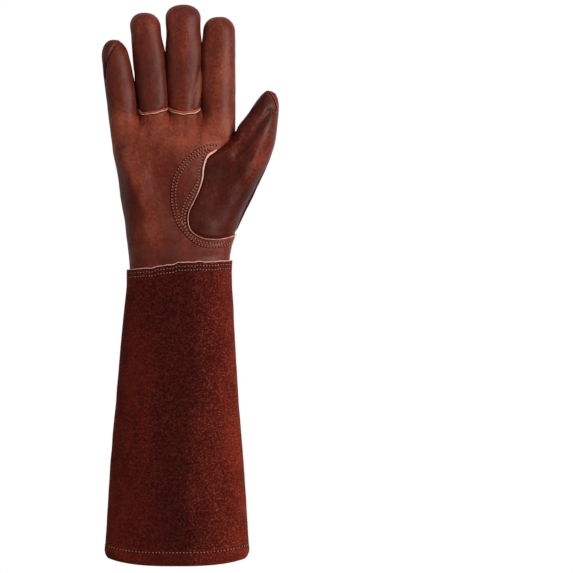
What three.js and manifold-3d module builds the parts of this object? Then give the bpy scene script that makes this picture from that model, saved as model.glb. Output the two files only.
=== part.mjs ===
// Rose pruning gauntlet for the right hand, lying on its back with the palm up.
// Millimetres, +Z up, +Y to the fingertips, +X to the thumb. It is drawn with the middle of the hem
// at the origin, and the finished group is moved so that the origin is under the middle of its box.
import * as THREE from "three";
import { mergeVertices } from "three/addons/utils/BufferGeometryUtils.js";
import Module from "manifold-3d";

// Walls and clearances
const leatherWall = 1.3;
const suedeWall = 1.8;
const patchWall = 1.0;
const weltWidth = 1.7;
const weltStand = 1.1;
const seamGap = 0.34; // between two pieces along a seam
const layGap = 0.32; // under a piece that is laid on another
const cuffEase = 0.7; // between the cuff and the wrist inside it
const fingerGap = 0.9; // between the sides of two fingers

// Cuff
const cuffLength = 252; // from the hem to the cut edge at the wrist
const cuffTilt = 8; // how much higher the cut edge is on the thumb side
const cuffOverlap = 17; // how far the hand goes into the cuff
const hemWidth = 123;
const hemHeight = 57;
const hemDrop = 8; // how far the middle of the hem hangs below its sides
const hemDepth = 11; // width of the folded hem
const hemFold = 1.6; // second layer inside the hem

// Hand
const handLength = 134; // from the cuff's cut edge to the crotches of the fingers
const wristWidth = 84;
const palmHeight = 36;
const handShift = 2; // how far the wrist lies towards the thumb from the middle of the hem
const crotchRise = 3; // how much further up the crotches are on the back
const baseDip = 5.5; // how far the seams at the finger bases dip between two crotches
const knuckleBlend = 27; // length over which the fingers run into the hand
const flatSink = 1.1; // how far the round underside is pressed flat where it rests
const liftStart = 2; // from the cuff's edge to where the back comes down to what the glove rests on
const liftLength = 12; // and the length over which it does

// Fingers
const littleWidth = 25.6;
const ringWidth = 24.8;
const middleWidth = 27.1;
const indexWidth = 28.6;
const littleLength = 57;
const ringLength = 79.6;
const middleLength = 86.9;
const indexLength = 76.5;
const fingerThickness = 21.5;

// Thumb
const thumbLength = 42.5; // free length beyond the crotch of the thumb
const thumbWidth = 33; // across the thumb at its crotch
const thumbThickness = 25;
const crotchEase = 1.4; // how far the thumb starts out from the hand's side at its crotch

// The four fingers, from the little to the index finger. belly and tip are widths at the middle and
// below the round tip and round is the tip's length, all as shares of the finger's width, and lean is
// how far the tip is shifted across, as a share of the finger's length.
const fingers = [
  { width: littleWidth, length: littleLength, belly: 1.0, tip: 0.83, lean: -0.135, round: 0.62 },
  { width: ringWidth, length: ringLength, belly: 1.08, tip: 1.02, lean: -0.095, round: 0.48 },
  { width: middleWidth, length: middleLength, belly: 1.07, tip: 1.12, lean: -0.02, round: 0.48 },
  { width: indexWidth, length: indexLength, belly: 0.99, tip: 0.935, lean: -0.002, round: 0.48 },
];
const bellyAt = 0.45; // share of a finger's length where its belly is measured
const tipSquare = 2.2; // exponent of the tip's outline, 2 is an ellipse
const fingerTaper = 0.1; // share of the thickness that is lost at the tip

// Where the seams lie round a finger, in degrees from its thumb side, counted over the palm side
const palmSeam = 12;
const backSeam = -42;
const tipSeam = -15; // both meet here near the tip
const indexSeam = -25; // the palm wraps round the index finger to this seam
const stripStart = 0.45; // share of a finger where its side strips begin to narrow

// Sections of the hand, from the cuff's edge (0) to the crotches (1). spread goes from the wrist's
// width to the palm's, shift is a share of the palm's width, height one of palmHeight, and side is
// the height of the side seam as a share of the section's height.
const handSections = [
  { along: -0.13, spread: 0, shift: 0, height: 1.14, side: 0.49 },
  { along: 0, spread: 0, shift: 0, height: 1.13, side: 0.49 },
  { along: 0.12, spread: 0.16, shift: 0.003, height: 1.08, side: 0.46 },
  { along: 0.2, spread: 0.36, shift: 0.011, height: 1.03, side: 0.44 },
  { along: 0.28, spread: 0.42, shift: 0.008, height: 1.01, side: 0.42 },
  { along: 0.42, spread: 0.53, shift: -0.011, height: 1, side: 0.41 },
  { along: 0.57, spread: 0.645, shift: -0.023, height: 0.98, side: 0.41 },
  { along: 0.72, spread: 0.79, shift: -0.039, height: 0.92, side: 0.41 },
  { along: 0.87, spread: 0.905, shift: -0.052, height: 0.82, side: 0.42 },
  { along: 1, spread: 1, shift: -0.063, height: 0.7, side: 0.42 },
];
const palmRound = 2.3; // exponents of the section's outline
const backRound = 3;

// Dents and swells of the leather, as shares of the palm's width, of handLength and of palmHeight.
// side 1 is the palm and -1 the back, and a negative depth is a swell.
const dents = [
  { side: 1, across: -0.16, along: 0.5, wide: 0.16, long: 0.26, depth: 0.055 }, // hollow of the palm
  { side: 1, across: -0.36, along: 0.45, wide: 0.1, long: 0.22, depth: -0.04 }, // heel on the little side
  { side: 1, across: 0.02, along: 0.09, wide: 0.4, long: 0.045, depth: 0.035 }, // crease at the wrist
  { side: 1, across: -0.05, along: 0.84, wide: 0.42, long: 0.05, depth: 0.03 }, // crease below the fingers
  { side: -1, across: 0, along: 0.26, wide: 0.5, long: 0.04, depth: 0.05 }, // pulled in by the gather
  { side: -1, across: -0.04, along: 0.16, wide: 0.46, long: 0.035, depth: 0.035 }, // fold below the gather
];

// Gather on the back of the wrist
const gatherAlong = 0.26; // share of handLength
const gatherLong = 0.06;
const gatherPeriod = 17.5;
const gatherDepth = 0.7;

// Thumb seam on the palm from the crotch round to the wrist side, as shares of the palm's width
// from the middle of the wrist and of handLength from the cuff's edge
const thumbSeam = [
  { across: 0.451, along: 0.842 },
  { across: 0.368, along: 0.771 },
  { across: 0.288, along: 0.716 },
  { across: 0.225, along: 0.679 },
  { across: 0.196, along: 0.61 },
  { across: 0.188, along: 0.545 },
  { across: 0.161, along: 0.469 },
  { across: 0.119, along: 0.393 },
  { across: 0.081, along: 0.32 },
  { across: 0.087, along: 0.24 },
  { across: 0.13, along: 0.199 },
  { across: 0.191, along: 0.175 },
  { across: 0.261, along: 0.169 },
  { across: 0.331, along: 0.173 },
  { across: 0.404, along: 0.19 },
  { across: 0.456, along: 0.212 },
];

// Outer edge of the crescent round the thumb seam, in the same shares
const patchEdge = [
  { across: 0.331, along: 0.768 },
  { across: 0.204, along: 0.763 },
  { across: 0.079, along: 0.702 },
  { across: -0.009, along: 0.622 },
  { across: -0.064, along: 0.52 },
  { across: -0.073, along: 0.4 },
  { across: -0.039, along: 0.285 },
  { across: 0.024, along: 0.203 },
  { across: 0.121, along: 0.132 },
  { across: 0.233, along: 0.104 },
  { across: 0.341, along: 0.11 },
  { across: 0.421, along: 0.146 },
];

// The thumb's free part, from its crotch (0) to its tip (1): the place of its middle as shares of
// thumbLength beyond the crotch, its half width as a share of thumbWidth and its half thickness as
// one of thumbThickness
const thumbSections = [
  { along: 0, across: 0, up: 0, width: 0.5, thick: 0.5 },
  { along: 0.24, across: 0.06, up: 0.225, width: 0.445, thick: 0.49 },
  { along: 0.38, across: 0.09, up: 0.355, width: 0.407, thick: 0.47 },
  { along: 0.53, across: 0.15, up: 0.485, width: 0.366, thick: 0.44 },
  { along: 0.67, across: 0.182, up: 0.621, width: 0.317, thick: 0.39 },
  { along: 0.82, across: 0.234, up: 0.762, width: 0.255, thick: 0.31 },
  { along: 0.91, across: 0.252, up: 0.85, width: 0.2, thick: 0.235 },
  { along: 0.97, across: 0.264, up: 0.905, width: 0.125, thick: 0.145 },
  { along: 1, across: 0.27, up: 0.93, width: 0, thick: 0 },
];
const thumbHeading = 21; // degrees from the line of the fingers
const thumbAxis = 0.62; // height of the thumb's middle as a share of palmHeight
const thumbReach = 0.9; // stiffness of the curves that lead from the seam into the thumb
const thumbLeave = 0.9; // how squarely those curves leave the seam
const thumbSideBlend = 0.06; // share of the back's edge over which it turns into the seam at both ends
const seamSteps = 18; // straight steps that the seam is drawn in, the same for all that meet there
const backSteps = 8; // and those under the thumb's back
const leadingRows = [0, 0.12, 0.3, 0.5, 0.7, 0.87, 1]; // from the seam to the crotch
const freeRows = [0.16, 0.32, 0.48, 0.64, 0.79, 0.9, 0.97, 1]; // from the crotch to the tip

// Cuff's cells: shares of its length at the rows beyond the hem, and the number of cells round it
const cuffRows = [0.16, 0.3, 0.45, 0.6, 0.75, 0.86, 0.93, 0.965, 1];
const cuffAround = 40;
const cuffFlare = 1.1; // exponent of the flare's width along the cuff, 1 is straight
const cuffDrift = 5; // the cuff stays straight this long before it leans to the wrist
const cuffSquare = 0.95; // evens out the cells round its sides
const hemStep = 0.8; // length over which the hem's second layer ends
const weltSteps = 12; // straight steps of the edge along each finger base
const patchSteps = 40;

// Finish of the real leathers
const finishes = {
  grain: { color: 0x7c3a2e, roughness: 0.5, metalness: 0 },
  cutEdge: { color: 0xe1b4a0, roughness: 0.85, metalness: 0 },
  suede: { color: 0x54190f, roughness: 0.95, metalness: 0 },
};

const degree = Math.PI / 180;
const lerp = THREE.MathUtils.lerp;
const clamp = THREE.MathUtils.clamp;
const smooth = (t) => THREE.MathUtils.smoothstep(t, 0, 1);

const palmWidth = fingers.reduce((sum, finger) => sum + finger.width, 0) + fingerGap * (fingers.length - 1);
const crotchY = cuffLength + handLength;
const handEndY = cuffLength - cuffOverlap;
const bump = (t) => Math.exp(-2 * t * t);
const roundness = (share, power) => Math.max(0, 1 - Math.abs(share) ** power) ** (1 / power);
const evenly = (count) => Array.from({ length: count + 1 }, (_, k) => (count ? k / count : 0));

// Reads one column of a table of sections smoothly at a place between its rows.
function readTable(rows, at, column) {
  const last = rows.length - 1;
  const place = clamp(at, rows[0].along, rows[last].along);
  let i = 0;
  while (i < last - 1 && rows[i + 1].along < place) i += 1;
  const slope = (k) => {
    const [a, b] = [rows[Math.max(0, k - 1)], rows[Math.min(last, k + 1)]];
    return (b[column] - a[column]) / (b.along - a.along);
  };
  const [from, to] = [rows[i], rows[i + 1]];
  const span = to.along - from.along;
  const t = (place - from.along) / span;
  const rise = to[column] - from[column];
  const [m0, m1] = [slope(i) * span, slope(i + 1) * span];
  return from[column] + t * (m0 + t * (3 * rise - 2 * m0 - m1 + t * (m0 + m1 - 2 * rise)));
}

// The hand's section at a height y: its middle, half width, top, underside and side seam.
function handSection(y) {
  const along = (y - cuffLength) / handLength;
  const height = palmHeight * readTable(handSections, along, "height");
  const inCuff = 1 - smooth((y - cuffLength - cuffTilt / 2 - liftStart) / liftLength);
  const floor = inCuff * (suedeWall + cuffEase);
  return {
    middle: handShift + palmWidth * readTable(handSections, along, "shift"),
    half: lerp(wristWidth, palmWidth, readTable(handSections, along, "spread")) / 2,
    top: height + floor,
    side: height * readTable(handSections, along, "side") + floor,
    floor,
  };
}

// How far the leather is pressed in at a place of the palm (side 1) or the back (side -1).
function pressedIn(side, x, y) {
  const across = (x - handShift) / palmWidth;
  const along = (y - cuffLength) / handLength;
  let depth = 0;
  for (const dent of dents.filter((one) => one.side === side)) {
    const spread = bump((across - dent.across) / dent.wide) * bump((along - dent.along) / dent.long);
    depth += dent.depth * palmHeight * spread;
  }
  if (side < 0) {
    const wave = 0.5 + 0.5 * Math.cos((x / gatherPeriod) * 2 * Math.PI);
    depth += gatherDepth * wave * bump((along - gatherAlong) / gatherLong);
  }
  return depth;
}

// A point of the hand's skin. across runs from -1 (little side) to 1 (thumb side).
function handPoint(side, across, y) {
  const section = handSection(y);
  const x = section.middle + across * section.half;
  if (side > 0) {
    const arch = roundness(across, palmRound);
    const z = section.side + (section.top - section.side) * arch - pressedIn(side, x, y) * arch;
    return new THREE.Vector3(x, y, z);
  }
  const arch = roundness(across, backRound);
  const z = section.side - (section.side - section.floor + flatSink) * arch;
  return new THREE.Vector3(x, y, Math.max(section.floor, z) + pressedIn(side, x, y) * arch);
}

// Middle of each finger at its base, from the widths of the fingers before it.
function fingerBase(index) {
  const left = handShift + palmWidth * handSections.at(-1).shift - palmWidth / 2;
  const before = fingers.slice(0, index).reduce((sum, finger) => sum + finger.width + fingerGap, 0);
  return left + before + fingers[index].width / 2;
}

// Where the finger begins at an angle round it: the seam dips on the palm and is higher on the back.
function baseY(theta) {
  const wrapped = theta > 270 ? theta - 360 : theta;
  const up = Math.sin(wrapped * degree);
  if (up > 0) return crotchY - baseDip * up;
  return crotchY + crotchRise * smooth(-up / Math.sin(-backSeam * degree));
}

// A point of a finger's skin at an angle round it and a share of the way from its base to its tip.
function fingerPoint(index, theta, share) {
  const finger = fingers[index];
  const start = baseY(theta);
  const y = start + (crotchY + finger.length - start) * share;
  const along = clamp((y - crotchY) / finger.length, 0, 1);
  const roundLength = finger.round * finger.width;
  const inTip = clamp((y - crotchY - finger.length + roundLength) / roundLength, 0, 1);
  const rows = [
    { along: 0, width: 1 },
    { along: bellyAt, width: finger.belly },
    { along: 1, width: finger.tip },
  ];
  const half = (finger.width / 2) * readTable(rows, along, "width") * roundness(inTip, tipSquare);
  const thick = (fingerThickness / 2) * (1 - fingerTaper * along);
  const middle = fingerBase(index) + finger.lean * finger.length * along;
  const x = middle + half * Math.cos(theta * degree);
  const z = thick - flatSink / 2 + thick * roundness(inTip, 2) * Math.sin(theta * degree);
  return new THREE.Vector3(x, y, Math.max(0, z));
}

// A point where a finger's column runs down into the hand, from its base (0) to the end in the cuff (1).
function handColumnPoint(index, theta, share) {
  const start = baseY(theta);
  const atBase = fingerPoint(index, theta, 0);
  const y = lerp(start, handEndY, share);
  const base = handSection(start);
  const across = clamp((atBase.x - base.middle) / base.half, -1, 1);
  const side = Math.sin(theta * degree) < -1e-9 ? -1 : 1;
  const point = handPoint(side, across, y);
  const t = smooth((start - y) / knuckleBlend);
  point.z = lerp(atBase.z, point.z, t);
  return point;
}

// Angles round a finger at a share of its length: the palm side, the strip on its little side, the
// back and the strip on its thumb side, each with its own number of cells. The outer fingers have no
// strip on their outer side, so the palm side and the back are wider there.
const cells = {
  palm: 6,
  strip: 3,
  back: 4,
  wider: [{ palm: 1, back: 2 }, { palm: 0, back: 0 }, { palm: 0, back: 0 }, { palm: 2, back: 1 }],
};
function ringAngles(index, share, shareAtJoin) {
  const narrowing = clamp((share - stripStart) / (shareAtJoin - stripStart), 0, 1) ** 2;
  const thumbSide = index === fingers.length - 1;
  const littleSide = index === 0;
  const edge = (seam) => lerp(seam, tipSeam, narrowing);
  const palmFrom = thumbSide ? indexSeam : edge(palmSeam);
  const palmTo = littleSide ? 180 : 180 - edge(palmSeam);
  const backFrom = littleSide ? 180 : 180 - edge(backSeam);
  const backTo = 360 + (thumbSide ? indexSeam : edge(backSeam));
  const wider = cells.wider[index];
  const spans = [
    { part: "palm", from: palmFrom, to: palmTo, count: cells.palm + wider.palm },
    { part: "littleStrip", from: palmTo, to: backFrom, count: littleSide ? 0 : cells.strip },
    { part: "back", from: backFrom, to: backTo, count: cells.back + wider.back },
    { part: "thumbStrip", from: backTo, to: palmFrom + 360, count: thumbSide ? 0 : cells.strip },
  ];
  return spans.map(({ part, from, to, count }) => ({
    part,
    angles: evenly(count).map((t) => lerp(from, to, t)),
  }));
}

// Shares of a finger's length at its rows: even up to the round tip, then closer together.
const straightRows = 5;
const tipRows = [0.5, 0.85, 1];
function fingerRows(finger) {
  const straight = 1 - (finger.round * finger.width) / finger.length;
  const rows = evenly(straightRows).map((t) => straight * t);
  return [...rows, ...tipRows.map((t) => lerp(straight, 1, t))];
}
const handRows = [0, 0.03, 0.07, 0.12, 0.18, 0.26, 0.36, 0.46, 0.56, 0.65, 0.73, 0.8, 0.87, 1];

const leastEven = 0.75; // limits how much longer a normal gets at a bend

// A skin is a list of welded points and of cells, each cell with the name of its piece.
class Skin {
  constructor() {
    this.points = [];
    this.cells = [];
    this.places = new Map();
    this.held = new Map(); // normals that are set at a point, by the point's number
  }

  weld(point) {
    const key = point.toArray().map((value) => Math.round(value * 1e4)).join();
    if (!this.places.has(key)) this.places.set(key, this.points.push(point) - 1);
    return this.places.get(key);
  }

  // Adds the cell whose corners run anticlockwise seen from outside.
  add(piece, ...corners) {
    const welded = corners.map((corner) => this.weld(corner));
    const kept = welded.filter((corner, k) => corner !== welded[(k + 1) % welded.length]);
    if (new Set(kept).size > 2) this.cells.push({ piece, corners: kept });
  }

  // Adds the cells between two rows of points.
  addRows(piece, lower, upper) {
    for (let k = 0; k + 1 < lower.length; k += 1)
      this.add(piece, lower[k], lower[k + 1], upper[k + 1], upper[k]);
  }

  // Outward normals at the points, longer where the skin bends so that walls keep their thickness.
  normals() {
    const sums = this.points.map(() => new THREE.Vector3());
    const faces = [];
    for (const cell of this.cells)
      for (const [a, b, c] of triangles(cell.corners, this.points)) {
        const normal = faceNormal(this.points[a], this.points[b], this.points[c]);
        faces.push({ normal, corners: [a, b, c] });
        [a, b, c].forEach((corner, k) => {
          const at = this.points[corner];
          const next = this.points[[b, c, a][k]].clone().sub(at);
          const previous = this.points[[c, a, b][k]].clone().sub(at);
          sums[corner].addScaledVector(normal, next.angleTo(previous));
        });
      }
    sums.forEach((sum) => sum.normalize());
    const spread = sums.map(() => ({ sum: 0, count: 0 }));
    for (const face of faces)
      for (const corner of face.corners) {
        spread[corner].sum += face.normal.dot(sums[corner]);
        spread[corner].count += 1;
      }
    return sums.map((sum, k) => {
      const even = clamp(spread[k].sum / (spread[k].count || 1), leastEven, 1);
      return this.held.get(k) ?? sum.divideScalar(even);
    });
  }
}

function faceNormal(a, b, c) {
  return b.clone().sub(a).cross(c.clone().sub(a)).normalize();
}

// Splits a cell into triangles along its shorter diagonal.
function triangles(corners, points) {
  if (corners.length === 3) return [corners];
  const [a, b, c, d] = corners;
  return points[a].distanceTo(points[c]) <= points[b].distanceTo(points[d])
    ? [[a, b, c], [a, c, d]]
    : [[a, b, d], [b, c, d]];
}

// A wall over the cells of a skin: it runs from out above the skin to in below it, and its edges
// are drawn back by inset. in may be a function of the point.
function wall(skin, chosen, { out = 0, inward = leatherWall, inset = seamGap / 2 }) {
  const normals = skin.normals();
  const faces = chosen.flatMap((cell) => triangles(cell.corners, skin.points));
  const edges = new Map();
  faces.forEach((face) => {
    const normal = faceNormal(...face.map((corner) => skin.points[corner]));
    face.forEach((from, k) => {
      const to = face[(k + 1) % 3];
      if (!edges.delete(to + "," + from)) edges.set(from + "," + to, { from, to, normal });
    });
  });
  const inwards = new Map();
  for (const { from, to, normal } of edges.values()) {
    const along = skin.points[to].clone().sub(skin.points[from]).normalize();
    const away = normal.clone().cross(along);
    for (const corner of [from, to]) inwards.set(corner, [...(inwards.get(corner) ?? []), away]);
  }
  const used = [...new Set(faces.flat())];
  const place = new Map(used.map((corner, k) => [corner, k]));
  const [outer, inner] = [[], []];
  for (const corner of used) {
    const point = skin.points[corner].clone();
    const ways = inwards.get(corner) ?? [];
    if (ways.length) {
      const sum = ways.reduce((a, b) => a.add(b), new THREE.Vector3());
      const mean = sum.divideScalar(ways.length);
      point.addScaledVector(mean, inset / Math.max(leastEven ** 4, mean.lengthSq()));
    }
    const depth = typeof inward === "function" ? inward(skin.points[corner]) : inward;
    const above = point.clone().addScaledVector(normals[corner], out);
    outer.push(above);
    inner.push(point.clone().addScaledVector(normals[corner], -depth));
  }
  const shift = used.length;
  const index = [];
  for (const face of faces) {
    const [a, b, c] = face.map((corner) => place.get(corner));
    index.push(a, b, c, a + shift, c + shift, b + shift);
  }
  for (const { from, to } of edges.values()) {
    const [a, b] = [place.get(from), place.get(to)];
    index.push(b, a, a + shift, b, a + shift, b + shift);
  }
  const geometry = new THREE.BufferGeometry().setFromPoints([...outer, ...inner]);
  geometry.setIndex(index);
  return geometry;
}

// The skin of the hand and fingers, cut into its pieces.
function handSkin() {
  const skin = new Skin();
  const piecesOf = (index) => ({
    palm: ["palm_panel", "ring_front", "middle_front", "palm_panel"][index],
    back: "back_panel",
    littleStrip: stripName(index - 1),
    thumbStrip: stripName(index),
  });
  const columns = fingers.map((finger, index) => {
    const rows = fingerRows(finger);
    const joinShare = rows[straightRows + 1];
    const rings = rows.map((share) => ringAngles(index, share, joinShare));
    const names = piecesOf(index);
    rings.slice(1).forEach((ring, k) => {
      ring.forEach((span, part) => {
        const lower = rings[k][part].angles.map((angle) => fingerPoint(index, angle, rows[k]));
        const upper = span.angles.map((angle) => fingerPoint(index, angle, rows[k + 1]));
        skin.addRows(names[span.part], upper, lower);
      });
    });
    return Object.fromEntries(rings[0].map((span) => [span.part, span.angles]));
  });
  const row = (index, angles, share) => angles.map((angle) => handColumnPoint(index, angle, share));
  handRows.slice(1).forEach((share, k) => {
    const palm = (at) => [3, 2, 1, 0].flatMap((index) => row(index, columns[index].palm, at));
    const back = (at) => [0, 1, 2, 3].flatMap((index) => row(index, columns[index].back, at));
    skin.addRows("palm_panel", palm(handRows[k]), palm(share));
    skin.addRows("back_panel", back(handRows[k]), back(share));
  });
  fingers.slice(1).forEach((_, index) => {
    const little = row(index, [...columns[index].thumbStrip].reverse(), 0);
    const thumb = row(index + 1, columns[index + 1].littleStrip, 0);
    skin.addRows(stripName(index), thumb, little);
  });
  return skin;
}

function stripName(index) {
  return ["fourchette_ring_little", "fourchette_middle_ring", "fourchette_index_middle"][index] ?? "";
}

// A smooth curve in plan through a table of shares.
function planCurve(rows) {
  const place = ({ across, along }) => [handShift + across * palmWidth, cuffLength + along * handLength];
  return new THREE.SplineCurve(rows.map((row) => new THREE.Vector2(...place(row))));
}

// The plan outline on one side of a curve, at two distances from it.
function strip(curve, near, far, steps, from = 0, to = 1) {
  const side = (distance) =>
    evenly(steps).map((t) => {
      const u = lerp(from, to, t);
      const tangent = curve.getTangent(u);
      return curve.getPoint(u).add(new THREE.Vector2(tangent.y, -tangent.x).multiplyScalar(distance));
    });
  return [...side(near), ...side(far).reverse()];
}

// A prism that stands on a plan outline, from a height up to well above the glove.
function prism(outline, from = -palmHeight) {
  const shape = new THREE.Shape(outline);
  const geometry = new THREE.ExtrudeGeometry(shape, { depth: 4 * palmHeight, bevelEnabled: false });
  geometry.translate(0, 0, from);
  return geometry;
}

const wasm = await Module();
wasm.setup();

function toSolid(geometry) {
  const bare = geometry.clone();
  bare.deleteAttribute("normal");
  bare.deleteAttribute("uv");
  const merged = mergeVertices(bare, 1e-4);
  return new wasm.Manifold(
    new wasm.Mesh({
      numProp: 3,
      vertProperties: merged.attributes.position.array,
      triVerts: new Uint32Array(merged.index.array),
    }),
  );
}

function toGeometry(solid) {
  const mesh = solid.getMesh();
  const geometry = new THREE.BufferGeometry();
  geometry.setAttribute("position", new THREE.BufferAttribute(mesh.vertProperties, 3));
  geometry.setIndex(new THREE.BufferAttribute(mesh.triVerts, 1));
  return geometry;
}
const cut = (geometry, tool) => toGeometry(toSolid(geometry).subtract(toSolid(tool)));
const keep = (geometry, tool) => toGeometry(toSolid(geometry).intersect(toSolid(tool)));

// Plan outline of the hole that the thumb is set into, open past the hand's side.
function thumbHole(distance) {
  const edge = strip(planCurve(thumbSeam), distance, distance, seamSteps).slice(0, seamSteps + 1);
  const beyond = handShift + palmWidth;
  return [...edge, new THREE.Vector2(beyond, edge.at(-1).y), new THREE.Vector2(beyond, edge[0].y)];
}

// The edge round the thumb's base, at an angle that is 0 on its outer side, 90 on the palm side,
// 180 at the crotch and 270 on the back: over the palm it follows the seam, and under the side it
// follows the edge of the back.
function thumbEdge(phi) {
  const curve = planCurve(thumbSeam);
  const wrap = Math.cos(indexSeam * degree);
  const index = fingers.length - 1;
  const crotch = handSection(crotchY);
  const seamAcross = (fingerBase(index) + (indexWidth / 2) * wrap - crotch.middle) / crotch.half;
  if (phi <= 180) {
    const plan = curve.getPoint(1 - phi / 180);
    const section = handSection(plan.y);
    const across = clamp((plan.x - section.middle) / section.half, -1, 1);
    return handPoint(1, across, plan.y);
  }
  const [top, bottom] = [curve.getPoint(0).y, curve.getPoint(1).y];
  const t = (phi - 180) / 180;
  const point = handPoint(-1, seamAcross, lerp(top, bottom, t));
  const ends = smooth(Math.min(t, 1 - t) / thumbSideBlend);
  const side = handPoint(1, 1, point.y);
  return side.lerp(point, ends);
}

// The palm's own normal on the thumb seam, without its share across the seam, so that the walls on
// both sides of the seam stand face to face.
function edgeNormal(phi) {
  const curve = planCurve(thumbSeam);
  const plan = curve.getPoint(1 - phi / 180);
  const onPalm = (dx, dy) => {
    const section = handSection(plan.y + dy);
    return handPoint(1, clamp((plan.x + dx - section.middle) / section.half, -1, 1), plan.y + dy);
  };
  const [right, left, up, down] = [onPalm(0.5, 0), onPalm(-0.5, 0), onPalm(0, 0.5), onPalm(0, -0.5)];
  const normal = right.sub(left).cross(up.sub(down)).normalize();
  const tangent = curve.getTangent(1 - phi / 180);
  const across = new THREE.Vector3(-tangent.y, tangent.x, 0);
  return normal.addScaledVector(across, -normal.dot(across)).normalize();
}

// Ring of the thumb's free part, at a share of the way to its tip.
function thumbRing(phi, along) {
  const read = (column) => readTable(thumbSections, along, column);
  const heading = new THREE.Vector2(Math.sin(thumbHeading * degree), Math.cos(thumbHeading * degree));
  const outward = new THREE.Vector2(heading.y, -heading.x);
  const crotch = planCurve(thumbSeam).getPoint(0);
  const beside = outward.clone().multiplyScalar(thumbWidth / 2 + crotchEase);
  const root = crotch.clone().add(beside).addScaledVector(heading, crotchEase);
  const middle = root.add(new THREE.Vector2(read("across"), read("up")).multiplyScalar(thumbLength));
  const half = thumbWidth * read("width") * Math.cos(phi * degree);
  const thick = thumbThickness * read("thick") * Math.sin(phi * degree);
  const z = palmHeight * thumbAxis;
  return new THREE.Vector3(middle.x + half * outward.x, middle.y + half * outward.y, z + thick);
}

// The thumb's skin: curves lead from the edge round its base into the rings of the free part.
function thumbSkin() {
  const skin = new Skin();
  const heading = new THREE.Vector3(Math.sin(thumbHeading * degree), Math.cos(thumbHeading * degree), 0);
  const angles = [
    ...evenly(seamSteps).map((t) => t * 180),
    ...evenly(backSteps).slice(1, -1).map((t) => 180 + t * 180),
    0,
  ];
  const seamCurve = planCurve(thumbSeam);
  const leading = (phi, t) => {
    const [from, to] = [thumbEdge(phi), thumbRing(phi, 0)];
    const reach = to.clone().sub(from).setZ(0);
    const length = reach.length() * thumbReach;
    const start = reach.normalize();
    if (phi <= 180) {
      const tangent = seamCurve.getTangent(1 - phi / 180);
      const away = new THREE.Vector3(-tangent.y, tangent.x, 0);
      start.addScaledVector(away, thumbLeave * Math.sqrt(Math.abs(Math.sin(phi * degree))));
    }
    start.normalize().multiplyScalar(length);
    const end = heading.clone().multiplyScalar(length);
    const [t2, t3] = [t * t, t * t * t];
    return from
      .multiplyScalar(2 * t3 - 3 * t2 + 1)
      .addScaledVector(start, t3 - 2 * t2 + t)
      .addScaledVector(to, 3 * t2 - 2 * t3)
      .addScaledVector(end, t3 - t2);
  };
  const rings = [
    ...leadingRows.map((t) => angles.map((phi) => leading(phi, t))),
    ...freeRows.map((along) => angles.map((phi) => thumbRing(phi, along))),
  ];
  rings.slice(1).forEach((ring, k) => skin.addRows("thumb", ring, rings[k]));
  angles.filter((phi) => phi > 0 && phi < 180).forEach((phi) => {
    skin.held.set(skin.weld(thumbEdge(phi)), edgeNormal(phi));
  });
  return skin;
}

// A point of the cuff's skin, from the hem (0) to the cut edge (1), with the angle counted from the
// thumb side over the palm side.
function cuffPoint(angle, share) {
  const [c, s] = [Math.cos(angle), Math.sin(angle)];
  const spot = Math.sign(c) * Math.abs(c) ** cuffSquare;
  const from = hemDrop * spot * spot;
  const to = cuffLength + (cuffTilt * spot) / 2;
  const y = lerp(from, to, share);
  const joined = smooth((y - hemDepth) / (handEndY - hemDepth));
  const hand = handSection(Math.max(y, handEndY));
  const ease = suedeWall + cuffEase;
  const below = Math.min(1, y / handEndY);
  const half = lerp(hemWidth / 2, hand.half + ease, below ** cuffFlare);
  const top = lerp(hemHeight, hand.top + ease, joined);
  const side = lerp(hemHeight / 2, hand.side, joined);
  const middle = hand.middle * below ** cuffDrift;
  const x = middle + spot * half;
  const power = s > 0 ? palmRound : backRound;
  const arch = roundness(spot, power);
  const z = s > 0 ? side + (top - side) * arch : side - (side + flatSink) * arch;
  return new THREE.Vector3(x, y, Math.max(0, z));
}

function cuffSkin() {
  const skin = new Skin();
  const rows = [0, hemDepth / cuffLength, (hemDepth + hemStep) / cuffLength, ...cuffRows];
  const angles = evenly(cuffAround).map((t) => (t % 1) * 2 * Math.PI);
  const rings = rows.map((share) => angles.map((angle) => cuffPoint(angle, share)));
  rings.slice(1).forEach((ring, k) => skin.addRows("cuff", ring, rings[k]));
  return skin;
}

const glove = new THREE.Group();

function addPiece(name, geometry, finish) {
  const mesh = new THREE.Mesh(geometry, new THREE.MeshStandardMaterial(finishes[finish]));
  mesh.name = name;
  glove.add(mesh);
}

const hand = handSkin();
const cellsOf = (name) => hand.cells.filter((cell) => cell.piece === name);
const palmCells = cellsOf("palm_panel");

addPiece("palm_panel", cut(wall(hand, palmCells, {}), prism(thumbHole(seamGap / 2))), "grain");
for (const name of ["back_panel", "ring_front", "middle_front", stripName(0), stripName(1), stripName(2)])
  addPiece(name, wall(hand, cellsOf(name), {}), "grain");

// Beside its crotch the thumb is trimmed to stay clear of the palm's wall.
const thickPalm = { out: seamGap, inward: leatherWall + seamGap, inset: -seamGap / 2 };
const fullPalm = wall(hand, palmCells, thickPalm);
const palmKeepOut = cut(fullPalm, prism(thumbHole(-seamGap / 4)));
const thumb = thumbSkin();
addPiece("thumb", cut(wall(thumb, thumb.cells, {}), palmKeepOut), "grain");

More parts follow.
